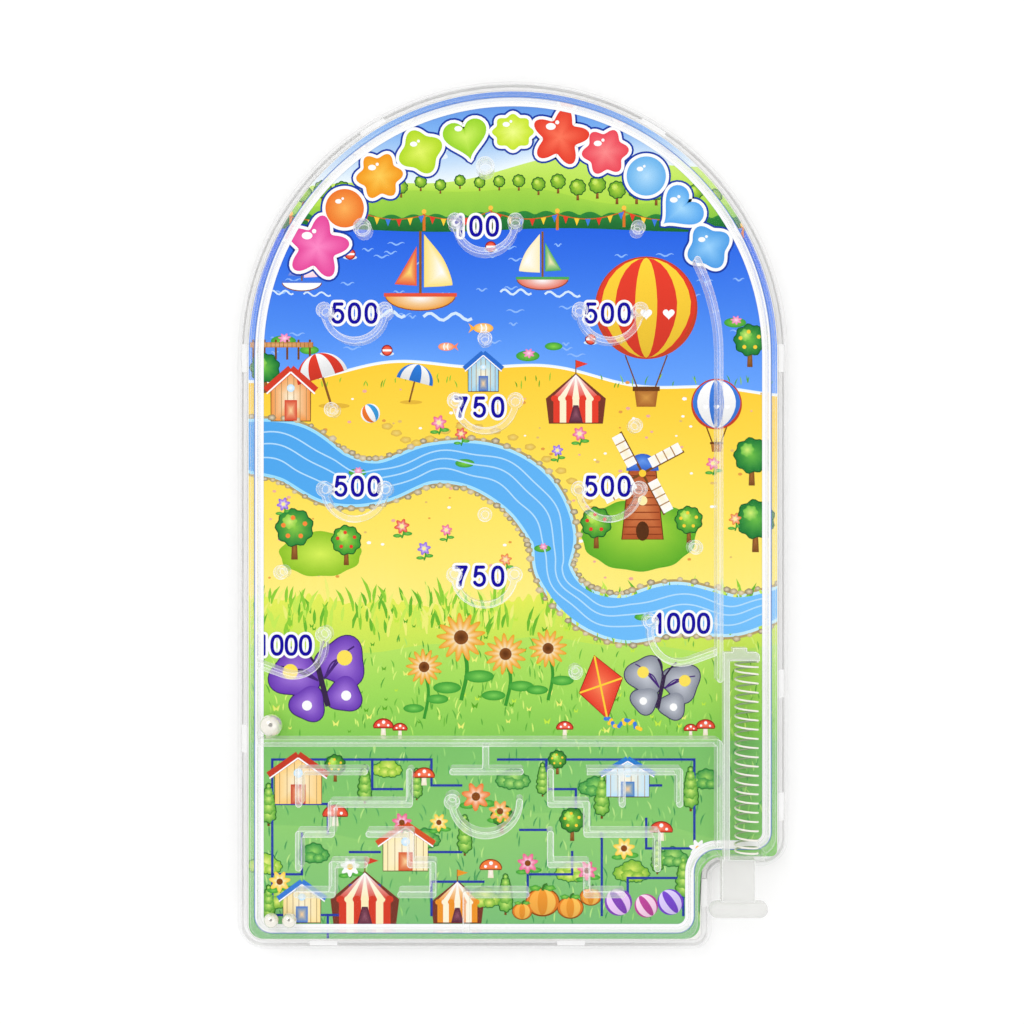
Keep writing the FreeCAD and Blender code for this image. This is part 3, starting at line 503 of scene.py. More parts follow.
def arch_toy(outline, ink, pale):
    """One toy of the arch: a dark blue line, a white one, the coloured body and two highlights."""
    patch(swell(outline, 1.35), 6, "#1c3fa8")
    patch(swell(outline, 0.85), 7, WHITE)
    patch(outline, 8, ink, pale, rings=3)
    middle = outline.mean(0)
    size = np.abs(outline - middle).max()
    blob(middle + size * np.array([-0.32, 0.36]), size * 0.17, 9, WHITE, aspect=0.7, steps=16)
    blob(middle + size * np.array([-0.1, 0.5]), size * 0.07, 9, WHITE, steps=12)


def toy_arch():
    """Toys in a row along an arch: an even step of angle round the case's own arch centre."""
    # lobes, their depth and the height's share
    forms = {
        "star": (5, 0.26, 1.0),
        "ball": (0, 0.0, 1.0),
        "flower": (6, 0.14, 1.0),
        "gem": (4, 0.15, 1.0),
        "cloud": (8, 0.09, 0.86),
    }
    toys = [
        ("star", 6.9, "#e84a9c", "#ff8cc8"),
        ("ball", 5.2, ORANGE, "#ffb45c"),
        ("flower", 5.6, "#f59a1e", "#ffd05a"),
        ("gem", 5.4, "#b4dc28", "#e6f86a"),
        ("heart", 5.6, "#9ad62c", "#d4f56a"),
        ("cloud", 5.2, "#c8e62e", "#f2ff8c"),
        ("star", 6.3, RED, "#ff7a5c"),
        ("flower", 5.6, "#ee4a5a", "#ff8f8f"),
        ("ball", 5.3, "#6ab4ee", "#b4e0ff"),
        ("heart", 5.7, "#58a8f0", "#a8dcff"),
        ("gem", 5.4, "#4f9fe8", "#9cd4ff"),
    ]
    first, step, radius = 151, 12.2, 60.4
    for k, (kind, size, ink, pale) in enumerate(toys):
        a = math.radians(first - step * k)
        centre = (radius * math.cos(a), ARCH_Y + radius * math.sin(a))
        if kind == "heart":
            outline = heart(centre, size, a - math.pi / 2)
        else:
            lobes, depth, aspect = forms[kind]
            outline = round_form(centre, size, lobes, depth, a, aspect, steps=80)
        arch_toy(outline, ink, pale)


def lunes(x, y, wide, high, inks, layer, tilt=0.0, drop=1.0, pinch=0.0):
    """A round thing in stripes that meet at its top and bottom: each stripe lies between two
    meridians, whose distance from the middle is the sine of their angle."""
    v = np.linspace(0, math.pi * drop, 14)
    width = wide * np.sin(v) * (1 - pinch * np.clip((v / math.pi - 0.5) * 2, 0, 1))
    shade = np.linspace(1.06, 0.88, len(v))[None, :, None]
    edges = np.sin(np.linspace(-math.pi / 2, math.pi / 2, len(inks) + 1))
    for a, b, ink in zip(edges, edges[1:], inks):
        grid = np.stack([np.stack([width * edge, high * np.cos(v)], 1) for edge in (a, b)])
        lay(spots(x, y, 1.0, grid, tilt), np.clip(rgb(ink) * shade, 0, 1), layer)


def air_balloon(x, y, r, inks):
    """Hot-air balloon: ropes, a striped envelope with a pinched foot, a basket and hearts."""
    for side in (-r, r):
        ribbon([(x + side * 0.42, y - r * 0.95), (x + side * 0.16, y - r * 1.65)], 0.35, 3, BARK)
    patch(swell(round_form((x, y), r, steps=60), 0.35), 3, "#c8442a")
    lunes(x, y, r, r, inks, 4, pinch=0.25)
    rim = y - r * 1.62
    patch(block(x, rim, y - r * 1.98, r * 0.24, r * 0.19), 4, "#a8642c", "#d89a4a")
    ribbon([(x - r * 0.27, rim), (x + r * 0.27, rim)], r * 0.09, 5, "#6e3f1c")
    for k in (-0.45, 0.0, 0.45):
        patch(heart((x + k * r, y - r * 0.12), r * 0.11), 5, WHITE)


def sailboat(x, y, s, hull, sail, stripe, way):
    """Sailing boat: a curved hull, two sails and a bow wave."""
    edged(half_round(x, y, -s * 1.15, -s * 0.5, 15), 3, hull, WHITE, "#8a4a2c", centre=(x, y - s * 0.1))
    ribbon([(x - s * 1.2, y), (x + s * 1.2, y)], s * 0.12, 4, stripe)
    ribbon([(x, y), (x, y + s * 2.1)], s * 0.09, 3, WOOD)
    main = [(0.12, 0.25), (0.9, 0.3), (1.05, 0.42), (0.75, 1.2), (0.12, 2.0)]
    jib = [(-0.12, 0.3), (-0.85, 0.35), (-0.12, 1.6), (-0.12, 0.3)]
    scale = (way * s, s)
    patch(smooth(spots(x, y, scale, main), 6), 4, sail, WHITE)
    patch(line(*spots(x, y, scale, jib), steps=4)[:-1], 4, stripe, sail)
    t = np.linspace(-0.5, 0.5, 13)
    for dx, dy, wide in ((-1.2, 0.62, 1.4), (0.9, 0.72, 1.6)):
        foam = np.stack([dx + wide * t, 0.12 * np.sin((t + 0.5) * 12) - dy], 1)
        ribbon(spots(x, y, s, foam), 0.1 * s, 2, FOAM)


def ripples(rng, x0, x1, y0, y1, count, ink):
    """Short wavy strokes scattered over water, thickest at their middle."""
    t = np.linspace(0, 1, 9)
    ends = ((x0, x1), (y0, y1), (2.0, 5.0))
    for x, y, wide in zip(*(rng.uniform(*pair, count) for pair in ends)):
        wavy = np.stack([x + wide * t, y + 0.35 * np.sin(t * 9)], 1)
        ribbon(wavy, 0.35 * np.sin(math.pi * t) + 0.12, 1, ink)


def round_tree(x, y, s, dark, light, fruit=None, layer=3):
    """Leafy tree: a trunk, a lobed crown that is light at its middle, and fruit in a ring."""
    patch(block(x, y, y + 0.9 * s, 0.14 * s, 0.1 * s), layer, BARK, "#a86c34")
    crown = round_form((x, y + 1.35 * s), 0.75 * s, 9, 0.07, 0.3)
    edged(crown, layer + 1, dark, light, "#1f5a2c", rings=3)
    lit = (x - 0.2 * s, y + 1.6 * s)
    blob(lit, 0.3 * s, layer + 2, light, "#d8f27a", lobes=7, depth=0.1, turn=0.1, steps=28)
    for a in (0.4, 1.7, 2.9, 4.1, 5.3) if fruit else ():
        at = spots(x, y, s, (0.48 * math.cos(a), 1.35 + 0.42 * math.sin(a)))
        blob(at, 0.1 * s, layer + 2, fruit, steps=12)


def flower(x, y, s, petals, middle, lobes, stem):
    """Flower: a lobed ring of petals round a dark or bright eye, on a curved stem with leaves."""
    ribbon(smooth([(x, y), (x + 0.3 * s, y - stem * 0.5), (x, y - stem)], 6), 0.16 * s + 0.18, 3, "#3c9a34")
    for dx, drop, size in ((0.9, 0.62, 0.75), (-0.7, 0.8, 0.7)):
        blob((x + dx * s, y - stem * drop), size * s, 3, LEAF, "#7fd05a", aspect=0.42, steps=20)
    blob((x, y), s, 4, petals, WHITE, rings=3, lobes=lobes, depth=0.24, turn=0.2, steps=10 * lobes)
    blob((x, y), 0.36 * s, 5, middle, steps=18)


def toadstool(x, y, s, cap="#e23a2c"):
    """Toadstool: a pale stem under a half-round spotted cap."""
    patch(block(x, y, y + 0.7 * s, 0.2 * s, 0.15 * s), 3, "#f2e4c8", "#fffaf0")
    dome = half_round(x, y + 0.6 * s, 0.72 * s, 0.62 * s, 24)
    edged(dome, 4, cap, "#ff8a6c", "#8a2a1c", centre=(x, y + 0.8 * s))
    for dx, dy, r in ((-0.35, 0.78, 0.1), (0.02, 1.0, 0.13), (0.36, 0.76, 0.09)):
        blob((x + dx * s, y + dy * s), r * s, 5, WHITE, steps=14)


def butterfly(x, y, s, ink, pale, tilt):
    """Butterfly: four lobed wings with veins and spots, feelers and a thin body."""

    def at(*points):
        """Its own points as points of the card."""
        return spots(x, y, s, points, tilt)

    for side in (-1, 1):
        for out, up, size, depth, lean in ((0.62, 0.42, 0.62, 0.14, 0.9), (0.48, -0.42, 0.44, 0.12, -0.9)):
            wing = round_form(at(side * out, up), size * s, 3, depth, lean * side + tilt)
            edged(wing, 3, ink, pale, "#3a2a5a", rings=3)
        for out in (0.35, 0.55, 0.75):
            tip = (side * (out + 0.28), 0.35 + 0.5 * out)
            vein = at((side * 0.08, 0.1), (side * out, 0.3 + 0.4 * out), tip)
            ribbon(smooth(vein), 0.045 * s, 4, "#4a2a7a")
        blob(at(side * 0.72, 0.5), 0.2 * s, 4, "#ffe45c", steps=16)
        blob(at(side * 0.52, -0.45), 0.13 * s, 4, WHITE, steps=14)
        feeler = at((0, 0.45), (side * 0.18, 0.85), (side * 0.32, 1.05))
        ribbon(smooth(feeler), 0.06 * s, 4, "#3a2a4a")
    ribbon(line(*at((0, -0.6), (0, 0.55)), steps=5), 0.14 * s, 5, "#3a2a4a")


def windmill(x, y, s):
    """Windmill: a brick tower that narrows upwards, a cap, and four sails that cross at its hub."""
    edged(block(x, y, y + 1.7 * s, 0.5 * s, 0.32 * s), 3, "#b4552c", "#e08a54", "#5a2a18")
    for level in 0.12 + 0.18 * np.arange(9):
        half = 0.48 - 0.105 * level
        ribbon(spots(x, y, s, [(-half, level), (half, level)]), 0.028 * s, 4, "#8f3f20")
    patch(half_round(x, y + 1.68 * s, 0.4 * s, 0.42 * s, 16), 4, "#2f62c8", "#6a9cf0")
    blob((x, y + 0.2 * s), 0.16 * s, 5, "#5a3218", aspect=1.5, steps=20)
    blob((x, y + 0.95 * s), 0.12 * s, 5, "#fff2b0", steps=16)
    hub = np.array([x, y + 1.62 * s])
    for a in np.radians(28 + 90 * np.arange(4)):
        way = np.array([math.cos(a), math.sin(a)]) * s
        side = np.array([-way[1], way[0]]) * 0.26
        ribbon(line(hub, hub + way * 1.15, steps=2), 0.06 * s, 5, BARK)
        near, far = hub + way * 0.28, hub + way * 1.12
        patch([near, far, far + side, near + side], 5, WHITE, "#fff3d0")
        for step in (0.49, 0.7, 0.91):
            bar = hub + way * step
            ribbon([bar, bar + side], 0.03 * s, 6, "#b88a5a")
    blob(hub, 0.09 * s, 7, YELLOW, steps=16)


def parasol(x, y, s, inks, tilt):
    """Beach umbrella: half of a striped round on a pole, and its shade on the sand."""
    ribbon(spots(x, y, s, [(0, 0), (0, 1.9)], tilt), 0.09 * s, 3, WOOD)
    lunes(*spots(x, y, s, (0, 1.15), tilt), s, 0.95 * s, inks, 4, tilt, drop=0.5)
    blob((x + 0.1 * s, y), 0.6 * s, 2, "#e6b83c", aspect=0.18, steps=24)


def bunting(points, inks, pole):
    """Flags on a line between posts, which sags by half a sine."""
    sag = 1.6 * np.sin(np.linspace(0, math.pi, 13))
    for post, after in zip(points, points[1:]):
        rope = line(post, after, steps=12)
        rope[:, 1] -= sag
        ribbon(rope, 0.3, 4, "#c86a2c")
        for k in range(1, 12, 2):
            a, b = rope[k], rope[k + 1]
            tip = (a + b) / 2 - (0, 2.0)
            patch(line(a, b, tip, a, steps=3)[:-1], 5, inks[k // 2 % len(inks)])
    for x, y in points:
        ribbon([(x, y - pole), (x, y + 0.8)], 0.75, 3, "#e0762a")
        blob((x, y + 1.0), 0.65, 4, "#ffc84a", steps=14)


def fish(x, y, s, ink, way):
    """Fish: a long round body, a forked tail and two stripes."""
    scale = (way * s, s)
    blob((x, y), s, 3, ink, "#fff6d8", aspect=0.5, steps=28)
    tail = spots(x, y, scale, [(-0.8, 0), (-1.5, 0.5), (-1.25, 0), (-1.5, -0.5)])
    patch(tail, 3, ink, centre=(x - way * 1.1 * s, y))
    for dx in (-0.25, 0.2):
        ribbon(smooth(spots(x, y, scale, [(dx, -0.4), (dx + 0.12, 0), (dx, 0.4)])), 0.13 * s, 4, WHITE)


def lily_pad(x, y, s, bloom):
    """Lily pad: a flat green round, and a lobed bloom on some."""
    blob((x, y), s, 2, "#3f9f3c", "#8ad84a", aspect=0.45, steps=30)
    if bloom:
        petals = round_form((x + 0.1 * s, y + 0.22 * s), 0.42 * s, 7, 0.25, 0.3, 0.8, steps=56)
        patch(petals, 3, "#f078b4", "#ffe0f0")


def blades(rng, x0, x1, y0, y1, count, tall, inks):
    """Blades of grass: thin strips that bend over by the square of their height and end in a point."""
    t = np.linspace(0, 1, 4)
    for k in range(count):
        x, y = rng.uniform(x0, x1), rng.uniform(y0, y1)
        lean, high = rng.uniform(-0.5, 0.5), tall * rng.uniform(0.6, 1.2)
        bent = np.stack([x + lean * high * t**2, y + high * t], 1)
        ribbon(bent, tall * (0.06 + 0.5 * t) * (1 - t), 1, inks[k % len(inks)])


def buoy(x, y):
    """Floating ball in two colours, with a ring of foam."""
    blob((x, y - 0.9), 1.9, 2, FOAM, aspect=0.3, steps=24)
    edged(round_form((x, y), 1.25, steps=24), 4, RED, "#ff9a7a", "#8a1f18")
    ribbon([(x - 1.2, y), (x + 1.2, y)], 0.55, 5, WHITE)


def tent(x, y, w, h, ink, other):
    """Striped tent: panels that fan out from a point to the eave, a scalloped edge, upright
    stripes below, a doorway and a flag."""
    foot, eave, top, mast = y - 0.3, y + 0.5 * h, y + h, y + 1.3 * h
    back = block(x, foot, eave, 0.54 * w, 0.6 * w)
    patch([*back[:3], (x, y + 1.03 * h), back[3]], 2, "#7a3a2c", rings=1)
    edges = np.linspace(-0.5, 0.5, 8) * w
    for k, (a, b) in enumerate(zip(edges, edges[1:])):
        tone = (ink, other)[k % 2]
        near, far = x + a * 0.9, x + b * 0.9
        patch([(near, y), (far, y), (far, eave), (near, eave)], 3, tone, rings=1)
        patch([(x, top), (x + a, eave), (x + b, eave)], 4, tone, WHITE, centre=(x, top))
        blob((x + (a + b) / 2, eave), (b - a) / 2, 4, tone, aspect=0.9, steps=14)
    patch(block(x, y, y + 0.36 * h, 0.14 * w, 0.05 * w), 5, "#5a2a3c", "#94586a")
    ribbon([(x, top), (x, mast)], 0.3, 4, WOOD)
    patch([(x, mast), (x + 0.24 * w, y + 1.22 * h), (x, y + 1.13 * h)], 5, ink)


def hut(x, y, w, h, wall, roof):
    """Beach hut: upright boards, a gabled roof with a pale edge, a door and a round window."""
    front = spots(x, y, (w, h), [(-0.5, 0), (0.5, 0), (0.5, 1), (0, 1.5), (-0.5, 1)])
    edged(front, 3, wall, "#fff6dc", "#6a4a2c")
    for k in np.linspace(-0.4, 0.4, 6):
        ribbon(spots(x, y, (w, h), [(k, 0), (k, 1.4 - abs(k))]), 0.16, 4, "#b08a5a")
    for side in (-1, 1):
        ribbon(spots(x, y, (w, h), [(0, 1.56), (side * 0.64, 0.9)]), 0.24 * h, 5, roof)
        ribbon(spots(x, y, (w, h), [(0, 1.46), (side * 0.62, 0.81)]), 0.05 * h, 6, WHITE)
    patch(block(x, y, y + 0.62 * h, 0.16 * w), 5, roof, "#ffd8a0")
    blob((x, y + 0.98 * h), 0.1 * w, 5, "#bfe6ff", WHITE, steps=18)


def poplar(x, y, s):
    """Poplar: a narrow crown that tapers to its tip, with rows of leaf tufts."""
    ribbon([(x, y), (x, y + 0.7 * s)], 0.14 * s, 2, BARK)
    for k, (level, wide) in enumerate(((0.7, 0.42), (1.15, 0.4), (1.6, 0.33), (2.0, 0.24), (2.35, 0.13))):
        tuft = round_form((x, y + level * s), wide * s, 7, 0.1, 0.4 + k, 1.15, steps=35)
        edged(tuft, 3, "#5aa83c", "#d4f07a", "#2f6a2c")


def pumpkin(x, y, s):
    """Pumpkin: ribs between meridians, a curled stalk and two leaves."""
    blob((x, y), s * 1.06, 2, "#8a4a18", aspect=0.84)
    lunes(x, y, s, 0.8 * s, ["#e8822c", "#ffb44c", "#f09a34", "#ffc45c", "#e8822c"], 3)
    ribbon(smooth(spots(x, y, s, [(0, 0.7), (0.08, 1.0), (0.3, 1.1)])), 0.16 * s, 4, "#3c7a2c")
    for side in (-1, 1):
        leaf = round_form((x + side * 0.45 * s, y + 0.86 * s), 0.36 * s, 5, 0.12, side, 0.5, steps=25)
        patch(leaf, 4, LEAF, "#9ad85a")


def jetty(x, y, length, high):
    """Wooden jetty: cross boards on a row of piles."""
    for at in x + length * np.linspace(0.05, 0.95, 6):
        ribbon([(at, y - high), (at, y + 1.4)], 0.55, 3, BARK)
    patch(block(x + length / 2, y - 0.7, y + 0.7, length / 2), 4, "#c8864a", "#e8b27a")
    for at in x + length * np.linspace(0, 1, 16):
        ribbon([(at, y - 0.7), (at, y + 0.7)], 0.14, 5, WOOD)


def bush(x, y, s, dark, light):
    """Bush: lobed heaps of leaves, the near ones lower."""
    heaps = (-0.7, 0.1, 0.7), (0.75, 0.05, 0.66), (0.1, 0.42, 0.85), (-0.2, -0.12, 0.6), (0.5, -0.2, 0.5)
    for side, up, wide in heaps:
        heap = round_form((x + side * s, y + up * s), wide * s, 8, 0.08, side, 0.8)
        edged(heap, 2, dark, light, "#2f7a3a")


def shells(rng, x0, x1, y0, y1, count):
    """Small shells and pebbles scattered over the sand."""
    inks = ("#e8a04a", WHITE, "#e8c070", "#f2b0a0")
    for k in range(count):
        at = (rng.uniform(x0, x1), rng.uniform(y0, y1))
        shell = round_form(at, rng.uniform(0.3, 0.65), 5, 0.12, k, 0.7, steps=15)
        patch(shell, 1, inks[k % 4], rings=1)


def river(rng):
    """River: a smooth course with a sandy and a pale bank, three lines of flow along it, lily pads
    and a row of stones on either side."""
    corners = [
        (-74, 19), (-60, 17), (-48, 10), (-36, 9), (-22, 14), (-8, 13), (4, 6),
        (10.5, -5), (11, -15), (18, -24), (30, -28), (44, -25), (60, -27), (74, -23),
    ]
    course = smooth(corners, 16)
    t = np.linspace(0, 1, len(course))
    width = 12.5 + 2.5 * np.sin(t * 17) - 3 * t
    ribbon(course, width + 3.0, 1, "#b9a06a")
    ribbon(course, width + 1.7, 1, "#9be0ff", "#c8f0ff")
    ribbon(course, width, 2, "#4fa8f0", "#78c4ff")
    middle = course[6:-6]
    wobble = 0.5 * np.sin(np.arange(len(middle)) / 3)
    for share in (0.28, -0.22, 0.05):
        out = width[6:-6] * share + wobble
        ribbon(middle + across(middle) * out[:, None], 0.4, 3, "#b4e0ff")
    for row in ((-42, 11.5, 2.4, True), (-13, 14, 2.6, False), (8, -9, 2.3, True), (35, -27.5, 2.2, False)):
        lily_pad(*row)
    stones = ("#8a7a5a", "#a8946a", "#c8b48a")
    for k in range(0, len(course), 3):
        i = min(max(k, 1), len(course) - 2)
        run = course[i + 1] - course[i - 1]
        side = np.array([-run[1], run[0]]) / np.hypot(*run)
        for way in (-side, side):
            at = course[i] + way * (width[i] / 2 + 1.4 + rng.uniform(-0.3, 0.3))
            stone = round_form(at, rng.uniform(0.7, 1.15), 5, 0.08, rng.uniform(0, 6), 0.75, steps=15)
            patch(stone, 3, stones[k // 3 % 3], "#e8dcc0", rings=1)


def sky_and_lake(rng):
    """Clouds, trees on the hills, boats and other things on the lake, and what flies over it."""
    for x, y, s in ((-24, 98, 6.5), (12, 101, 5.5), (34, 93, 5), (-47, 85, 4)):
        patch(round_form((x, y), s, 7, 0.10, 0.4, 0.45, steps=56), 1, "#e4f2ff", WHITE)
    for x in np.arange(-62, 63, 5.3):
        y = 85.6 + 2.2 * math.sin(x / 17 + 2.1) + 0.6 * math.sin(x * 1.7)
        round_tree(x, y, 2.3 + 0.6 * math.sin(x * 2.3), "#6aa82a", "#b9dc4a", layer=1)
    ripples(rng, -66, 60, 42, 74, 46, "#8fbcff")
    sailboat(-25, 59.5, 8.2, "#f0a23c", "#ffe27a", "#e8563c", 1)
    sailboat(8, 64, 6, "#e8705a", CREAM, "#4fae5a", -1)
    sailboat(-57, 63, 4.6, WHITE, "#ffd4e4", "#4a7ae0", 1)
    for x, y in ((-44, 70.5), (-6, 72.5), (21, 47.5), (-34, 44.5)):
        buoy(x, y)
    fish(-8, 50.5, 2.7, "#ffb43c", 1)
    fish(-18, 45.5, 2.2, "#ff8a5c", -1)
    for row in (
        (-62, 47, 3.4, True), (-55, 44.6, 2.6, False), (4, 43, 3.2, True),
        (11, 45.6, 2.4, False), (60, 52, 3, True),
    ):
        lily_pad(*row)
    air_balloon(36, 56, 13.5, [RED, YELLOW] * 3 + [RED])
    air_balloon(55, 30, 6.5, [BLUE, WHITE] * 2 + [BLUE])
    tops = (80.5, 82, 81, 82, 81.2, 82, 80.8, 77.5)
    bunting([*zip((*range(-60, 49, 18), 62), tops)], (RED, YELLOW, BLUE), 4.2)


def beach(rng):
    """Jetty, huts, a tent, shells, grass, parasols and a ball, the river, a hillock with the
    windmill, trees, flowers and stepping stones."""
    jetty(-71, 46, 17, 4)
    hut(-60, 25.5, 10.5, 9, "#f49a4a", "#d8402c")
    hut(-8, 33.5, 8, 6.6, "#9ad4f4", "#2f6fd0")
    tent(17, 25, 13.5, 13, RED, "#fff4d0")
    shells(rng, -70, 70, -18, 36, 150)
    blades(rng, -70, 70, 34, 37, 60, 2.2, ("#8fc83c", "#5fa82c"))
    parasol(-49, 29.5, 7, [RED, WHITE] * 3, 0.3)
    parasol(-28, 30.5, 5, ["#2f7fe0", WHITE] * 2 + ["#2f7fe0"], -0.25)
    lunes(-38.5, 27.5, 2.6, 2.6, [WHITE, ORANGE, WHITE, "#3f9fe0", WHITE], 3, 0.5)
    river(rng)
    hillock = round_form((34, -5.5), 15.5, 11, 0.02, 0.2, 0.62, steps=80)
    patch(hillock, 2, "#5fae2c", "#c4e84a", centre=(34, -2), rings=4)
    mound = round_form((-52, -10.5), 11, 9, 0.03, 0.2, 0.55, steps=60)
    patch(mound, 2, "#8fc42c", "#d8f25a", rings=3)
    windmill(35, -6.5, 11)
    for x, y, s, leaves, fruit in (
        (22.5, -9, 5.2, ORCHARD, RED),
        (47.5, -7.5, 4.6, ORCHARD, YELLOW),
        (-59, -12, 6.4, ("#2f8a3c", "#8fd04a"), "#ff8a3c"),
        (-45, -13.5, 5, ("#3c9a34", "#a4dc4a"), RED),
        (64.5, 8, 6, PINE, None),
        (65.5, -10, 6.6, PINE, None),
        (64, 40, 5.4, PINE, YELLOW),
        (-67, 33, 5, PINE, None),
    ):
        round_tree(x, y, s, *leaves, fruit)
    for x, y, s, ink in (
        (-20, 25, 1.7, PINK), (-14, 22, 1.4, RED), (18, 22, 1.6, PINK), (12, 17.5, 1.3, VIOLET),
        (-30, -3, 1.7, RED), (-24, -9, 1.5, VIOLET), (-18, -4, 1.3, PINK), (-2, -12, 1.4, ORANGE),
        (54, 14, 1.5, PINK), (-62, 3, 1.5, VIOLET), (60, -1, 1.4, ORANGE),
    ):
        flower(x, y, s, ink, "#fff2a0", 6, 3.2)
    stones = smooth([(-34, 24), (-26, 19.5), (-14, 24), (0, 21), (13, 12), (20, 4), (24, -3)], 3)
    for k, at in enumerate(stones):
        patch(round_form(at, 1.5, 5, 0.07, k, 0.6, steps=20), 1, "#e0b84a", "#f4d878")


def lawn(rng):
    """Butterflies, a kite with its tail, sunflowers, toadstools, grass and small tufts."""
    butterfly(-51.5, -45.5, 10.5, "#6a3cb4", "#b48ae8", 0.25)
    butterfly(40, -47.5, 8, "#8a8f9c", "#d4d8e0", -0.2)
    top, right, foot, left = (22, -38), (29.5, -44), (25.5, -55), (18, -48)
    edged([top, right, foot, left], 3, RED, "#ff8a5c", "#8a1f18")
    ribbon([top, foot], 0.5, 4, YELLOW)
    ribbon([right, left], 0.5, 4, YELLOW)
    for k, at in enumerate(smooth([foot, (28, -57), (31, -55.5), (34, -57.6)], 3)):
        blob(at, 0.75, 4, (BLUE, YELLOW)[k % 2], lobes=2, depth=0.4, turn=k, steps=20)
    for x, y, s in ((-14, -33, 5.4), (-2, -37.5, 4.6), (9.5, -36, 4.2), (-24, -41, 4)):
        flower(x, y, s, "#f0a01e", "#7a421c", 13, 17 if s > 5 else 14)
        blob((x, y), 0.34 * s, 6, "#8f5426", "#5a2e12", lobes=8, depth=0.04, steps=48)
    for x, s in ((-66, 3.4), (-35, 3.6), (-30.5, 2.6), (14, 3), (52, 3.4), (48, 2.4)):
        toadstool(x, -59.5, s)
    blades(rng, -71, 71, -33, -23, 330, 6, ("#c8ec5a", "#8fd03c", "#f0f27a", "#6cba34"))
    blades(rng, -71, 71, -60, -34, 420, 2.6, ("#b4e66a", "#74c044", "#d8f47a", "#62b040"))
    for k in range(110):
        x, y = rng.uniform(-70, 52), rng.uniform(-59, -27)
        s = rng.uniform(0.8, 1.9)
        tuft = spots(x, y, s, [(-0.3, 0), (0, 0.25), (0.3, 0), (0.55, 1), (0, 0.4), (-0.5, 0.95)])
        tuft[4, 0] += 0.02
        patch(tuft, 1, ("#c8ee4a", "#5fae2c", "#eef67a")[k % 3], rings=1)


def garden(rng):
    """The picture under the maze: grass, trees, huts, tents, and garden toys between them."""
    blades(rng, -70, 70, -113, -63, 640, 2.8, ("#9ad67a", "#5fae64", "#b8e48a", "#4f9f5c"))
    for row in (
        (-66, -84, 4.6), (-40, -78, 4.2), (-13, -92, 4.4), (24, -82, 4.6), (48, -80, 4.8), (46, -104, 4.6),
        (-2, -108, 4.4), (8, -76, 3.6), (-26, -77, 3.4), (39, -97, 3.6), (-66, -110, 4),
    ):
        poplar(*row)
    hut(-58, -78, 12.5, 8.5, "#ffd07a", "#c8402c")
    hut(-29, -96, 12, 8, "#fff0b8", "#d8552c")
    hut(31, -76, 11.5, 6.5, "#bfe6ff", "#2f7fd0")
    hut(-57, -110, 10, 7, "#ffe6a0", "#3f7fd8")
    tent(-40, -111, 15.5, 14.5, "#d8402c", CREAM)
    tent(-15, -110, 12, 11, "#f0962c", "#fff6d8")
    for row in ((8, -104.5, 4.4), (15.5, -106, 3.4), (21, -103, 2.8), (2.5, -107, 2.6)):
        pumpkin(*row)
    for row in (
        (-48, -84, 4.6, "#e2452c"), (-24, -73, 3.8, "#e8552c"),
        (40, -88, 4.2, "#e2452c"), (-6, -98, 4, ORANGE),
    ):
        toadstool(*row)
    for x, y, r, ink, pale in (
        (28.5, -104.5, 3.7, "#8a4ac0", "#f4d0ff"), (36, -105.5, 3.2, "#c04a9c", "#ffd8f0"),
        (42.5, -104.5, 3.5, "#7a4ad0", "#e0d0ff"),
    ):
        lunes(x, y, r, r, [ink, pale] * 2 + [ink], 3, 0.6)
    for row in ((-48, -72, 3.4), (16, -88, 4.2), (-3, -86, 3.6), (12, -70, 3)):
        round_tree(*row, "#2f7f2c", "#9ad84c", YELLOW)
    for x, y, s, ink in (
        (-10, -76, 3.2, ORANGE), (-3.5, -80, 2.5, "#f4a03c"), (30, -90, 2.4, YELLOW), (-30, -83, 2.2, PINK),
        (20, -96, 2.2, PINK), (-63, -99, 2.4, YELLOW), (50, -90, 2, WHITE), (4, -94, 2.3, PINK),
        (-44, -95, 2.2, WHITE), (-20, -83, 2, YELLOW),
    ):
        flower(x, y, s, ink, "#ffc83c" if ink == WHITE else "#8a4a1c", 7, 3)
    for x, y, s, leaves in (
        (-63, -104, 3.6, SAGE), (-67, -95, 3.2, LIME), (-54, -92, 3, MOSS),
        (-24, -88, 3, FERN), (0, -72, 3.2, MINT), (22, -74, 3, MOSS),
        (16, -97, 3.2, LIME), (52, -72, 3, FERN), (32, -97, 3.4, ("#7ab83c", "#dcec6a")),
        (-8, -104, 3.2, SAGE), (-34, -69, 2.8, ("#8fc83c", "#e8f07a")), (43, -93, 3, MINT),
    ):
        bush(x, y, s, *leaves)


def maze_lines(half=0.33):
    """Thin printed lines at right angles under the maze, this far to either side of their runs.
    Each run is its start, then its moves: to the right, up, to the right and so on."""
    for x, y, *moves in (
        (-65, -66, 43, -7, 8), (-38, -66, 0, -8, 8), (-4, -66, 53, -22), (9, -66, 0, -8, 8, -7),
        (31, -66, 0, -7, 9), (-65, -78, 15, -8), (-65, -66, 0, -42, 29, 8, -8), (-57, -86, 0, -11, -8),
        (-29, -81, 0, -10, 15, 6), (-22, -108, 0, 9, 14), (4, -108, 0, 11, 12, 6),
        (46, -108, 0, 10, -15, -6), (24, -86, 0, -22), (36, -82, 0, -8, 13), (-50, -108, 0, -6),
        (2, -85, 8), (-44, -91, 8),
    ):
        for k, move in enumerate(moves):
            u, v = (x, y + move) if k % 2 else (x + move, y)
            if move:
                bar = block((x + u) / 2, min(y, v) - half, max(y, v) + half, abs(u - x) / 2 + half)
                patch(bar, 2, "#2a3c9c", "#3448ac", rings=1)
            x, y = u, v


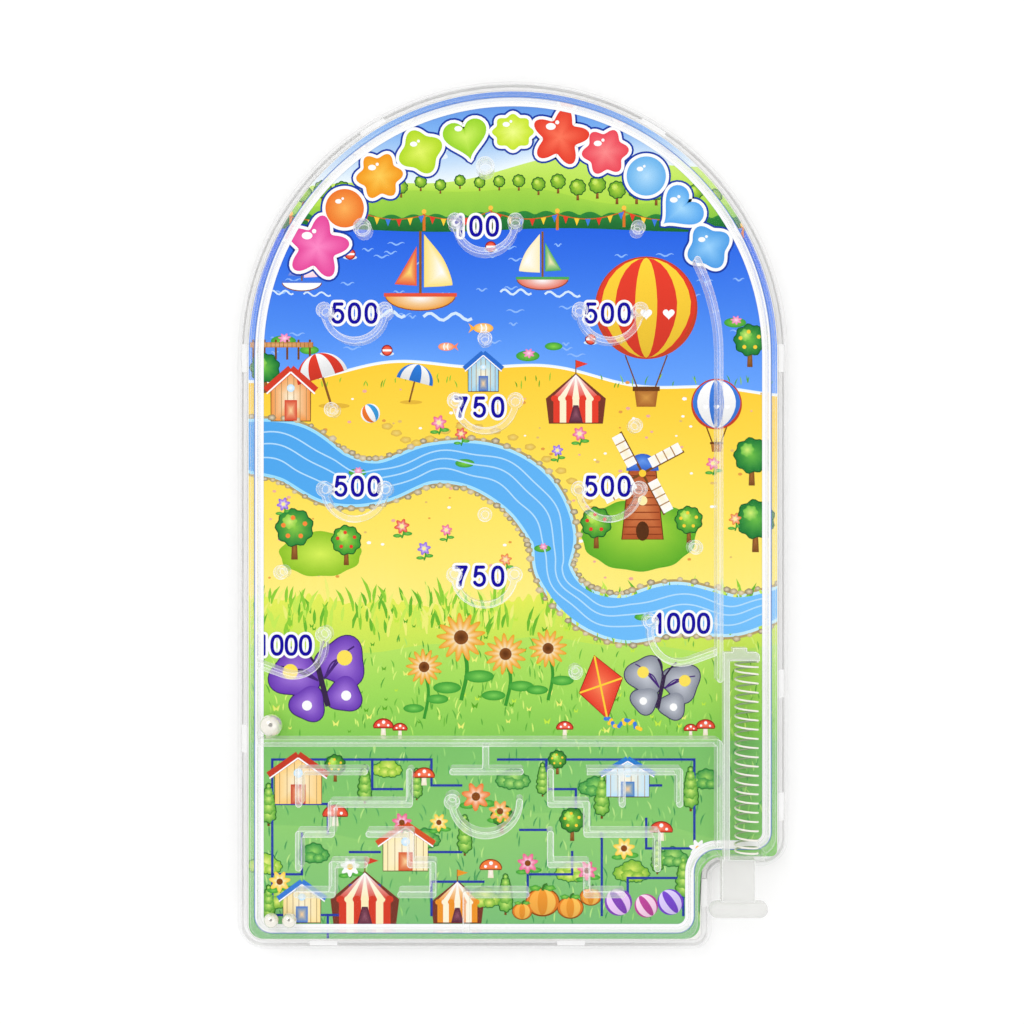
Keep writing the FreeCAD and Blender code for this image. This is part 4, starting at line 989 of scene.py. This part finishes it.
# each score figure's text, its middle in mm and the step from figure to figure
SCORES = [
    ("100", -10.0, 78.06, 4.45), ("500", -42.8, 54.56, 4.5), ("500", 25.54, 54.56, 4.5),
    ("750", -9.04, 29.17, 4.95), ("500", -41.99, 7.82, 4.5), ("500", 25.54, 7.82, 4.5),
    ("750", -9.04, -16.49, 4.95), ("1000", -61.8, -35.1, 3.85), ("1000", 45.43, -29.2, 4.05),
]
FIGURE_WIDE, FIGURE_HIGH, STROKE, BORDER = 2.7, 4.9, 0.92, 0.7


def figure_strokes(figure):
    """Centre lines of one figure's strokes in a box one wide and one high: straight runs, and for
    the round ones an arc or a slightly squared ellipse."""
    if figure == "0":
        t = np.linspace(0, 2 * math.pi, 41)
        x, y = (np.sign(part) * np.abs(part) ** 0.85 / 2 for part in (np.cos(t), np.sin(t)))
        return [np.stack([x, 0.5 + y], 1)]
    if figure == "1":
        return [line((0.12, 1), (0.12, 0)), line((-0.3, 0.7), (0.12, 1))]
    if figure == "7":
        return [line((-0.5, 1), (0.5, 1)), smooth([(0.5, 1), (0.16, 0.58), (-0.03, 0.28), (-0.12, 0)], 6)]
    a = np.radians(np.linspace(140, -150, 25))
    bowl = np.stack([-0.02 + 0.52 * np.cos(a), 0.33 + 0.33 * np.sin(a)], 1)
    return [line((0.4, 1), (-0.3, 1)), line((-0.3, 1), (-0.43, 0.5)), bowl]


def score_figures():
    """The score figures in navy on a bare white border: each stroke is laid wide in white and
    narrow in navy, with round ends."""
    for text, x, y, step in SCORES:
        for k, figure in enumerate(text):
            corner = (x + (k - (len(text) - 1) / 2) * step, y - FIGURE_HIGH / 2)
            for run in figure_strokes(figure):
                path = corner + run * (FIGURE_WIDE, FIGURE_HIGH)
                for width, layer, ink in ((STROKE + 2 * BORDER, 9, WHITE), (STROKE, 10, "#1409a0")):
                    ribbon(path, width, layer, ink)
                    for end in (path[0], path[-1]):
                        blob(end, width / 2, layer, ink, rings=1, steps=20)


def track_line(inset):
    """The raised wall's outline a distance inside the case's edge: a half circle on straight sides,
    with a notch in the lower right, every corner an arc."""
    side, lane, notch, base = 75 - inset, -95.5 + inset, 54.2 - inset, -118.1 + inset
    corner, inner = 9.85 - inset, 0.95 + inset
    # middle, radius, first and last angle, points
    arcs = [
        (0, ARCH_Y, side, 0, 180, 97),
        (corner - side, base + corner, corner, 180, 270, 9),
        (notch - corner, base + corner, corner, 270, 360, 9),
        (notch + inner, lane - inner, inner, 180, 90, 9),
        (side - corner, lane + corner, corner, 270, 360, 9),
    ]
    parts = []
    for x, y, r, start, end, count in arcs:
        a = np.radians(np.linspace(start, end, count))
        parts.append(np.stack([x + r * np.cos(a), y + r * np.sin(a)], 1))
    return np.concatenate(parts)


def wall_border():
    """The card's bare border under the raised wall, with a thin blue line on its outer side: rows
    of the outline at growing insets."""
    rows = {5.1: "#5f7fc4", 5.3: "#7f9ad4", 5.45: WHITE, 7.55: WHITE, 7.7: "#e4ecf8"}
    inks = np.stack([rgb(ink) for ink in rows.values()])[:, None]
    lay([track_line(inset) for inset in rows], inks, 11, True)


# the lowest ink's level in mm, the steps from layer to layer and from patch to patch, and how many
# steps a layer has room for
PRINT_LOW, LAYER_STEP, PATCH_STEP, PATCH_STEPS = 5.606, 0.0075, 0.0004, 18


def stacked():
    """For each patch, its step within its layer: one above every earlier patch of the layer that
    it may overlap."""
    lows, highs = (np.array([end(grid, (0, 1)) for grid, *_ in patches]) for end in (np.min, np.max))
    layers = np.array([layer for _, _, layer, _ in patches])
    steps = np.zeros(len(patches), int)
    for k in range(1, len(patches)):
        under = (layers[:k] == layers[k]) & (lows[:k] < highs[k]).all(1) & (highs[:k] > lows[k]).all(1)
        taken = steps[:k][under]
        if len(taken):
            free = np.setdiff1d(np.arange(PATCH_STEPS), taken)
            steps[k] = min(taken.max() + 1, free[-1])
    return steps


def printed_picture():
    """Every patch in one mesh, each layer of ink a hair above the last, with the ink's colour at
    its points. Points that meet are made one, and faces without area are left out."""
    points, inks, faces, start = [], [], [], 0
    for (grid, ink, layer, ring), step in zip(patches, stacked()):
        rows, columns = grid.shape[:2]
        level = np.full((rows, columns, 1), PRINT_LOW + LAYER_STEP * layer + PATCH_STEP * step)
        points.append(np.concatenate([grid, level], 2).reshape(-1, 3))
        inks.append(ink.reshape(-1, 3))
        faces.append(grid_faces(rows, columns, ring) + start)
        start += rows * columns
    points, inks, faces = np.concatenate(points), np.concatenate(inks), np.concatenate(faces)
    # points are the same within a half of 0.0005 mm on the card, and inks within a thousandth
    key = np.round(np.concatenate([points * (2000, 2000, 10000), inks * 500], 1)).astype(int)
    _, first, same = np.unique(key, axis=0, return_index=True, return_inverse=True)
    points, inks, faces = points[first], inks[first], same.reshape(-1)[faces]
    triangles = np.concatenate([faces[:, [0, 1, 2]], faces[:, [0, 2, 3]]])
    a, b, c = (points[triangles[:, k], :2] for k in range(3))
    area = np.cross(b - a, c - a)
    triangles = np.where(area[:, None] < 0, triangles[:, ::-1], triangles)[np.abs(area) > 1e-5]
    used, triangles = np.unique(triangles, return_inverse=True)
    points, inks, triangles = points[used], inks[used], triangles.reshape(-1, 3)
    made = new_piece("card_picture", points, triangles.tolist(), coated_card("offset_printed_coated_card"))
    made.data.validate()
    layer = made.data.color_attributes.new("ink", "FLOAT_COLOR", "POINT")
    full = np.concatenate([linear(inks.clip(0, 1)), np.ones((len(inks), 1))], 1)
    layer.data.foreach_set("color", full.astype(np.float32).ravel())
    return made


rng = np.random.default_rng(7)
landscape()
for part in (sky_and_lake, beach, lawn, garden):
    part(rng)
maze_lines()
toy_arch()
score_figures()
wall_border()
picture = printed_picture()
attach(picture, "case")


# Stage


def floor_paper():
    """Matt white paper, a little brighter to the camera, so that the floor shows as white."""
    made, tree = new_material("matt_white_paper")
    paper = add(tree, "BsdfDiffuse", None, {"Color": speckled(tree, 400.0, 2.0, "#fdfdfd", "#ffffff")})
    light = add(tree, "Emission", {"Strength": 0.06})
    seen = add(tree, "LightPath")
    glow = add(tree, "MixShader", None, {0: seen.outputs["Is Camera Ray"], 2: light})
    return finished(made, add(tree, "AddShader", None, {0: paper, 1: glow}))


def black_paint():
    """Matt black paint with a fine crinkle."""
    made, tree = new_material("crinkled_black_paint")
    tone = speckled(tree, 800.0, 2.0, "#181818", "#262626")
    return finished(made, add(tree, "BsdfDiffuse", None, {"Color": tone}))


def floor(half=2000.0, level=-0.1):
    """A square of paper just under the object, in mm."""
    corners = [(-half, -half, level), (half, -half, level), (half, half, level), (-half, half, level)]
    new_piece("floor", corners, [(0, 1, 2, 3)], floor_paper())


def camera_front(x, y, z, radius, corners=48):
    """A flat dark disc: a circle of this radius about its middle, in mm. The balls mirror it as a
    small dark spot, and nothing else shows it."""
    angle = np.linspace(0, 2 * math.pi, corners, endpoint=False)
    ring = np.stack([x + radius * np.cos(angle), y + radius * np.sin(angle), np.full(corners, z)], 1)
    made = new_piece("camera_front", ring, [tuple(range(corners))], black_paint())
    made.visible_camera = made.visible_diffuse = made.visible_transmission = made.visible_shadow = False


def soft_lamp(name, place, size, power):
    """A square lamp of this size that faces the object's middle."""
    light = bpy.data.lights.new(name, "AREA")
    light.size = size
    light.energy = power
    made = bpy.data.objects.new(name, light)
    made.location = place
    aim = -np.array(place)
    flat = math.hypot(aim[0], aim[1])
    made.rotation_euler = (math.atan2(flat, -aim[2]), 0, math.atan2(aim[1], aim[0]) - math.pi / 2)
    scene.collection.objects.link(made)


floor()
camera_front(-80, 60, 500, 200)
soft_lamp("key_lamp", (-0.45, 0.55, 0.75), 0.5, 1.2)
soft_lamp("fill_lamp", (0.6, -0.1, 0.8), 0.7, 0.3)

# a white room: less as light than as what the camera, mirrors and clear plastic show
scene.world = bpy.data.worlds.new("soft_white_room")
scene.world.use_nodes = True
room = scene.world.node_tree
room.nodes.clear()
ray = add(room, "LightPath")
shown = ray.outputs["Is Camera Ray"]
for other in ("Is Glossy Ray", "Is Transmission Ray"):
    both = {0: shown, 1: ray.outputs[other]}
    shown = add(room, "Math", None, both, operation="ADD", use_clamp=True)
level = add(room, "MapRange", {3: 0.92, 4: 1.0}, {0: shown})
sky = add(room, "Background", {"Color": (1, 1, 1, 1)}, {"Strength": level})
add(room, "OutputWorld", None, {"Surface": sky})

# a camera in front of the clear face's middle that looks straight down at it
lens = bpy.data.cameras.new("camera")
lens.sensor_width = 36.0
lens.lens = 68.19
lens.clip_start = 0.01
scene.camera = bpy.data.objects.new("camera", lens)
scene.camera.location = (-0.25 * MM, 0.85 * MM, 529.5 * MM)
scene.collection.objects.link(scene.camera)
scene.view_settings.view_transform = "Standard"
scene.cycles.transparent_max_bounces = 32
